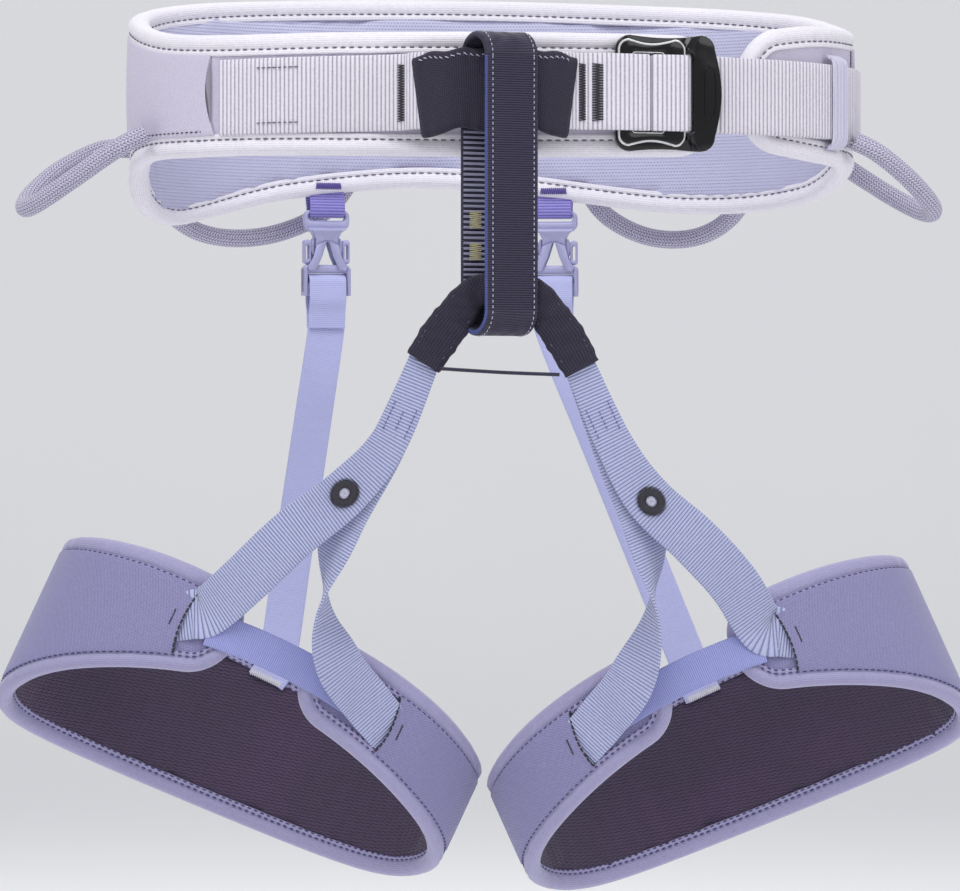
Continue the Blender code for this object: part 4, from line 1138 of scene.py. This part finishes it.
hang = np.array((0.0, 0.31, 0.67, 0.92, 1.0, 0.92, 0.67, 0.31, 0.0))
along = np.array((0.0, 0.02, 0.12, 0.30, 0.50, 0.70, 0.88, 0.98, 1.0))
for side, spans in (("left", (245.0, 203.0)), ("right", (134.0, 165.0))):
    gear_loop("rear", side, WAIST.at(spans[0] + (spans[1] - spans[0]) * along, ROOT + 0.012 * hang,
                                     -0.019 - 0.041 * hang))
    for end, angle in zip(("outer", "inner"), spans):
        tab = laid(f"gear_tab_cloth_{end}_{side}", WAIST, (angle - 2.5, angle + 2.5), lambda a: -0.0240 + 0 * a,
                   lambda a: -0.0080 + 0 * a, 0.0005, 0.0017, 12, 10)
        finished(tab, "belt", "elastic", KEEPER, f"gear_tab_{end}_{side}")
print("gear loops ready")

# %% [markdown]
# ## Leg loops
# Each leg loop is the belt's sandwich again, smaller and darker: a hard-wearing knit inside, foam, a stretch
# shell outside and a rolled edge with two rows of stitches. Its two front ends carry pockets that the webbing
# runs into.

# %% Leg loop padding, shell and binding
for side in SIDES:
    band, body = LEG_BANDS[side], f"leg_{side}"
    piece = padding(f"leg_pad_{side}", band, LEG_THICK, 0, 0.0038, 0.0022)
    finished(piece, body, "leg_lining", LINING_LEG, f"leg_lining_{side}", f"leg_foam_{side}")
    finished(shell_cloth(f"leg_cover_{side}", band, 0), body, "leg_shell", SHELL_LEG, f"leg_shell_{side}")
    roll = binding(f"leg_binding_roll_{side}", band, LEG_THICK, 300, 0.0011, 0.0072)
    finished(roll, body, "leg_binding", BIND_LEG, f"leg_binding_{side}")
    for row, inset in (("a", 0.0080), ("b", 0.0098)):
        for face, out in (("outer", 0.0006), ("inner", -LEG_THICK - 0.0006)):
            seam(f"leg_seam_{face}_{row}_{side}", band, inset, out, THREADS["purple"], body, 0.0036, 0.00036)
print("leg loops ready")

# %% Leg pockets
LIP = 0.0016
POCKET_MARGIN = 0.0088
v = np.linspace(0, 1, 30)
for side in SIDES:
    leg, body = LEGS[side], f"leg_{side}"
    for end, span, bow, back in (("outer", (276, 337.2), 1.2, 334.6), ("inner", (87, 34.6), -1.2, 37.2)):
        pocket = laid(f"leg_pocket_{end}_{side}", leg, span, lambda a: POCKET_MARGIN - leg_half(a),
                      lambda a: leg_half(a) - POCKET_MARGIN, 0.0004, 0.0016, 56, 14,
                      mouth=lambda v: bow * (2 * v - 1) ** 2, puff=0.0006, gape=LIP)
        finished(pocket, body, "leg_shell", SHELL_LEG, f"pocket_{end}_{side}")
        # A dark thread laid unbroken along each mouth is painted shadow, standing in for the shade under the mouth's
        # fold. The zigzag beside it is a real bar tack.
        at = span[1] + bow * (2 * v - 1) ** 2
        half = float(leg_half(span[1])) - POCKET_MARGIN
        edge = leg.at(at, 0.0012 + LIP * np.sin(np.pi * v) ** 0.5, np.linspace(-half, half, 30))
        mouth_shadow = thread("mouth_shadow", edge, leg.out(at), 0.0030, share=1.0, height=0.0002, radius=0.00055)
        tack = zigzag("tack", leg.at(back, 0.0024, -0.0035), leg.at(back, 0.0024, 0.0045), leg.out(back),
                      0.0014, 0.0012, 0.00032)
        finished(joined([mouth_shadow, tack], f"pocket_mouth_{end}_{side}"), body, None, THREADS["seam"])
print("leg pockets ready")

# %% [markdown]
# ## Leg webbing
# From each end of the sleeve two webbings run down: one in front to the outer pocket, and one behind that
# turns over once and enters the inner pocket ribbed side out. The front one has an embroidered ring.

# %% Leg webbing routes
GATHERED = (0.0148, 0.0180, 0.0228, 0.0248, 0.0248, 0.0246, 0.0240, 0.0236)
OUTER = {"left": ((-0.0290, -0.1118, -0.1272), (-0.0460, -0.1060, -0.1660), (-0.0665, -0.1000, -0.1900),
                  (-0.0930, -0.0915, -0.2110), (-0.1160, -0.0800, -0.2325)),
         "right": ((0.0440, -0.1118, -0.1302), (0.0610, -0.1060, -0.1680), (0.0770, -0.1000, -0.1930),
                   (0.1000, -0.0915, -0.2140), (0.1190, -0.0800, -0.2345))}
INNER = {"left": ((-0.0290, -0.1092, -0.1272), (-0.0470, -0.1020, -0.1680), (-0.0690, -0.0920, -0.2060),
                  (-0.0780, -0.0830, -0.2440), (-0.0710, -0.0780, -0.2725)),
         "right": ((0.0440, -0.1092, -0.1302), (0.0600, -0.1020, -0.1710), (0.0760, -0.0920, -0.2090),
                   (0.0800, -0.0830, -0.2470), (0.0700, -0.0780, -0.2800))}
RING_HEIGHTS = {"left": -0.1906, "right": -0.1944}
TACK_HEIGHT = -0.1560


def beside(path, out, height):
    """A spot on the face of a webbing at a height, with the way out of it, along it and across it."""
    at = int(np.argmin(np.abs(path[:, 2] - height)))
    way = unit(path[at + 8] - path[at - 8])
    return path[at] + out[at] * 0.0009, out[at], way, frames(path, out)[0][at]


def ring_mark(name, spot, look, way, inner, outer):
    """An embroidered ring: one thread sewn in and out between two circles."""
    turns = np.linspace(0, 2 * np.pi, 420, endpoint=False)
    swing = np.arcsin(np.sin(turns * 70 - np.pi / 2)) / np.pi + 0.5
    reach = inner + (outer - inner) * swing
    across, along = (np.cos(turns) * reach)[:, None], (np.sin(turns) * reach * 1.18)[:, None]
    rise = (0.00035 + 0.0002 * np.sin(swing * np.pi))[:, None]
    return wire(name, spot + np.cross(way, look) * across + way * along + look * rise, look, 0.00030, 5, closed=True)


# %% Leg webbing
for side in SIDES:
    leg, body, sign = LEGS[side], f"leg_{side}", 1 if side == "left" else -1
    pocket = [leg.at(342.5, 0.0034, 0.0086), leg.at(338.5, 0.0016, 0.0038), leg.at(334.6, -0.0006, 0.0004)]
    looks = [-BACK, -BACK, -BACK, unit(leg.out(338) * 0.3 - BACK * 0.7), unit(leg.out(347) * 0.6 - BACK * 0.4),
             leg.out(343), leg.out(339), leg.out(335)]
    piece, path, out = webbing(f"leg_web_outer_{side}", [*OUTER[side], *pocket], looks, GATHERED, 0.0014, 0.0016,
                               0.0002)
    finished(piece, body, "leg_webbing", LEG_WEBBING, f"leg_webbing_outer_{side}")
    spot, look, way, cross = beside(path, out, RING_HEIGHTS[side])
    for name, near, far, colour in (("mark", 0.0024, 0.0066, "dark"), ("heart", 0.0003, 0.0023, "pale")):
        ring = ring_mark(f"ring_{name}_{side}", spot, look, way, near, far)
        finished(ring, body, None, THREADS[colour])
    spot, look, way, cross = beside(path, out, TACK_HEIGHT)
    rows = []
    for across, length in ((-0.0055, 0.010), (0.0055, 0.010), (0.0, 0.006)):
        line = spot + cross * across + way * np.linspace(-length, length, 16)[:, None] / 1.3
        rows.append(thread("row", line, look, 0.0026, radius=0.0002, height=0.0001))
    finished(joined(rows, f"leg_web_tack_{side}"), body, None, THREADS["violet"])

    mouth = [leg.at(25.5, 0.0040, 0.0025), leg.at(32.5, 0.0017, -0.0008), leg.at(37.0, -0.0006, -0.0022)]
    looks = [-BACK, -BACK, (-0.5 * sign, -0.87, 0), (-sign, 0.15, 0), (-0.45 * sign, 0.88, 0), -leg.out(26),
             -leg.out(32), -leg.out(37)]
    piece, path, out = webbing(f"leg_web_inner_{side}", [*INNER[side], *mouth], looks, GATHERED, 0.0014, 0.0016,
                               0.0002)
    finished(piece, body, "leg_webbing", LEG_WEBBING, f"leg_webbing_inner_{side}")

    at = np.linspace(344, 387, 9)
    piece, path, out = webbing(f"leg_link_elastic_{side}", leg.at(at, 0.0019), leg.out(at), 0.0170, 0.0011, 0.0012,
                               0.00007)
    # The link takes the elastic's copy with painted shade, darker for the shadow it lies in.
    finished(piece, body, "elastic", SHADED_ELASTIC, f"leg_link_{side}")
print("leg webbing ready")

# %% [markdown]
# ## Rear straps and their buckles
# Two elastic straps hold up the backs of the leg loops. Each hangs from a webbing tab on the belt by a
# side-release buckle, whose two arms spring into the socket. The strap itself is one fixed mesh that runs from
# the belt to the leg.


# %% Rear strap makers
def solid_plate(name, plane, outline, low, high, chamfer, sign=1):
    """A plate of an anticlockwise outline, mirrored if `sign` is -1, with chamfered edges."""
    outline = (np.array(outline) * (sign, 1))[::sign]
    way = unit(np.roll(outline, -1, axis=0) - np.roll(outline, 1, axis=0))
    inward = np.stack([-way[:, 1], way[:, 0]], axis=1)
    levels = [(chamfer, low), (0.0, low + chamfer), (0.0, high - chamfer), (chamfer, high)]
    return skin(name, np.stack([on_plane(plane, outline + inward * inset, out) for inset, out in levels]))


def plain_ring(name, plane, sign, outer, inner, thick, chamfer):
    """A ring between two boxes, each (left, right, low, high, corner), mirrored if `sign` is -1."""
    edges = [rounded_box(*sorted((left * sign, right * sign)), *rest) for left, right, *rest in (outer, inner)]
    return ring_plate(name, plane, *edges, -thick, thick, chamfer)


def edge_strip(name, plane, route, width):
    """Webbing that turns in the upright plane of a frame, from (out, height) places."""
    origin, along, outwards = plane
    flat = curve([(out, z, 0.0) for out, z in route], 0.0002)
    path = origin + flat[:, :1] * outwards + flat[:, 1:2] * UP
    side = np.broadcast_to(along, path.shape)
    return strip(name, path, side, np.cross(side, unit(np.gradient(path, axis=0))), width, 0.0011, 0.0012, 0.00007)


# %% Rear straps and buckles
REAR = {"left": 208.8, "right": 169.2}
NECK = ((0.0060, -0.0646), (0.0060, -0.0606), (0.0076, -0.0574), (0.0104, -0.0548), (-0.0104, -0.0548),
        (-0.0076, -0.0574), (-0.0060, -0.0606), (-0.0060, -0.0646), (-0.0010, -0.0622), (0.0010, -0.0622))
PRONG = ((0.0004, -0.0616), (0.0030, -0.0700), (0.0062, -0.0772), (0.0100, -0.0776), (0.0106, -0.0752),
         (0.0078, -0.0706), (0.0060, -0.0640))
STEM = ((0.0064, -0.0690), (0.0078, -0.0690), (0.0090, -0.0660), (0.0090, -0.0640), (0.0074, -0.0604),
        (0.0064, -0.0604))
TAB_ROUTE = ((0.0068, -0.0290), (0.0068, -0.0380), (0.0048, -0.0440), (0.0041, -0.0470), (0.0024, -0.0486),
             (0.0, -0.0491), (-0.0024, -0.0486), (-0.0038, -0.0466), (-0.0036, -0.0430), (-0.0020, -0.0385),
             (0.0, -0.0340))
HALF_TURN = ((0.0018, -0.1070), (0.0026, -0.0985), (0.0046, -0.0925), (0.0046, -0.0860), (0.0040, -0.0815),
             (0.0, -0.0793))
for side in SIDES:
    plane = origin, along, outwards = belt_frame(REAR[side], -0.004)
    leg = LEGS[side]
    parts = [plain_ring("ring", plane, 1, (-0.0121, 0.0121, -0.0560, -0.0457, 0.0036),
                        (-0.0098, 0.0098, -0.0512, -0.0476, 0.0016), 0.0026, 0.0008),
             solid_plate("neck", plane, NECK, -0.0040, 0.0040, 0.0008)]
    parts += [solid_plate("prong", plane, PRONG, low, low + 0.0013, 0.0005, sign)
              for sign in (-1, 1) for low in (-0.0046, 0.0033)]
    finished(joined(parts, f"rear_anchor_{side}"), "belt", "buckle_plastic", PLASTIC, f"rear_buckle_anchor_{side}")
    for name, sign in (("near", -1), ("far", 1)):
        eyelet = plain_ring("eyelet", plane, sign, (0.0084, 0.0122, -0.0737, -0.0612, 0.0016),
                            (0.0095, 0.0112, -0.0715, -0.0640, 0.0006), 0.0028, 0.0005)
        stem = solid_plate("stem", plane, STEM, -0.0020, 0.0020, 0.0005, sign)
        finished(joined([eyelet, stem], f"rear_arm_{name}_{side}"), f"arm_{name}_{side}", "buckle_plastic", PLASTIC,
                 f"rear_buckle_arm_{name}_{side}")
    parts = [plain_ring("socket", plane, 1, (-0.0124, 0.0124, -0.0904, -0.0742, 0.0022),
                        (-0.0102, 0.0102, -0.0836, -0.0784, 0.0012), 0.0031, 0.0007)]
    for left in (-0.0124, 0.0105):
        right = left + 0.0019
        rail = ((left, -0.0902), (right, -0.0902), (right, -0.0760), (left, -0.0760))
        parts.append(solid_plate("rail", plane, rail, -0.0043, 0.0043, 0.0006))
    finished(joined(parts, f"rear_socket_{side}"), f"socket_{side}", "buckle_plastic", PLASTIC,
             f"rear_buckle_socket_{side}")

    tab = edge_strip(f"rear_tab_web_{side}", plane, TAB_ROUTE, 0.0186)
    finished(tab, "belt", "elastic", TAB, f"rear_tab_{side}")
    route = [*HALF_TURN, *((-out, z) for out, z in HALF_TURN[-2::-1])]
    turn = edge_strip(f"rear_turn_web_{side}", plane, route, 0.0196)
    finished(turn, f"socket_{side}", "elastic", ELASTIC, f"rear_strap_turn_{side}")

    top, below = origin - UP * 0.0990, origin - UP * 0.1085
    above, end = leg.at(180, -LEG_THICK - 0.0024, (0.046, 0.031))
    points = [top, below, below + (above - below) * 0.36, below + (above - below) * 0.70, above, end]
    looks = [outwards, outwards, outwards * 0.6 + BACK * 0.4, outwards * 0.2 + BACK * 0.8, BACK, BACK]
    strap, path, out = webbing(f"rear_strap_elastic_{side}", points, looks, 0.0196, 0.0011, 0.0012, 0.00007)
    finished(strap, None, "elastic", ELASTIC, f"rear_strap_{side}")
    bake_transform(strap)
    spot, reach = end + UP * 0.0016, leg.along * 0.0085
    sewn = zigzag(f"rear_strap_tack_{side}", spot - reach, spot + reach, -BACK, 0.0036, 0.0011, 0.0003, 0.0008)
    finished(sewn, f"leg_{side}", None, THREADS["white"])
    swing = 0.0068 / float(WAIST.pace(REAR[side]))
    ends = WAIST.at((REAR[side] - swing, REAR[side] + swing), -WAIST_THICK - 0.0012,
                    float(belt_low(REAR[side])) + 0.0042)
    tack = zigzag(f"belt_tack_{side}", *ends, -WAIST.out(REAR[side]), 0.0034, 0.0010)
    finished(tack, "belt", None, THREADS["violet"])
print("rear straps ready")

# %% [markdown]
# ## Light and floor
# A product set: a pale floor that curves up behind, a big soft light from above the camera and a weaker one
# from each side, so that ribs and rolled edges show without hard shadows.

# %% Light, floor and camera
scene = bpy.context.scene
scene.view_settings.view_transform = "Standard"
world = bpy.data.worlds.new("studio")
world.use_nodes = True
world.node_tree.nodes["Background"].inputs["Color"].default_value = (0.95, 0.96, 1.0, 1.0)
world.node_tree.nodes["Background"].inputs["Strength"].default_value = 0.55
scene.world = world

for name, where, size, power in (("key", (-0.6, -1.4, 2.1), 1.6, 42.0), ("fill", (1.6, -1.3, 1.2), 1.5, 14.0),
                                 ("under", (0.1, -1.7, -0.9), 1.4, 1.0), ("back", (0.0, 1.5, 1.2), 1.6, 14.0)):
    bpy.ops.object.light_add(type="AREA", location=where)
    lamp = bpy.context.object
    lamp.name = name
    lamp.data.size = size
    lamp.data.energy = power
    lamp.rotation_euler = (Vector((0, 0, -0.16)) - lamp.location).to_track_quat("-Z", "Y").to_euler()

backdrop = [(-4.0, -0.62), (-2.0, -0.62), (0.0, -0.62), (1.5, -0.62), (2.6, -0.62), (3.2, -0.58), (3.6, -0.38),
            (3.8, 0.1), (3.9, 1.0), (3.9, 2.2), (3.9, 3.4)]
line = curve([(0.0, y, z) for y, z in backdrop], 0.12)
floor = skin("studio_floor", line[:, None] + np.array([(x, 0, 0) for x in np.linspace(-5, 5, 9)]), loop_v=False)
paper = Finish("studio_paper", 0.9)
paper.send(paper.noise(3.0, 2.0).mix((0.93, 0.93, 0.94), (0.95, 0.95, 0.96)), "Base Color")
floor.data.materials.append(paper.material)

bpy.ops.object.camera_add(location=(-0.003, -2.0, -0.168), rotation=(math.pi / 2, 0, 0))
camera = bpy.context.object
camera.data.lens = 150
camera.data.sensor_width = 36
scene.camera = camera
print("stage ready")
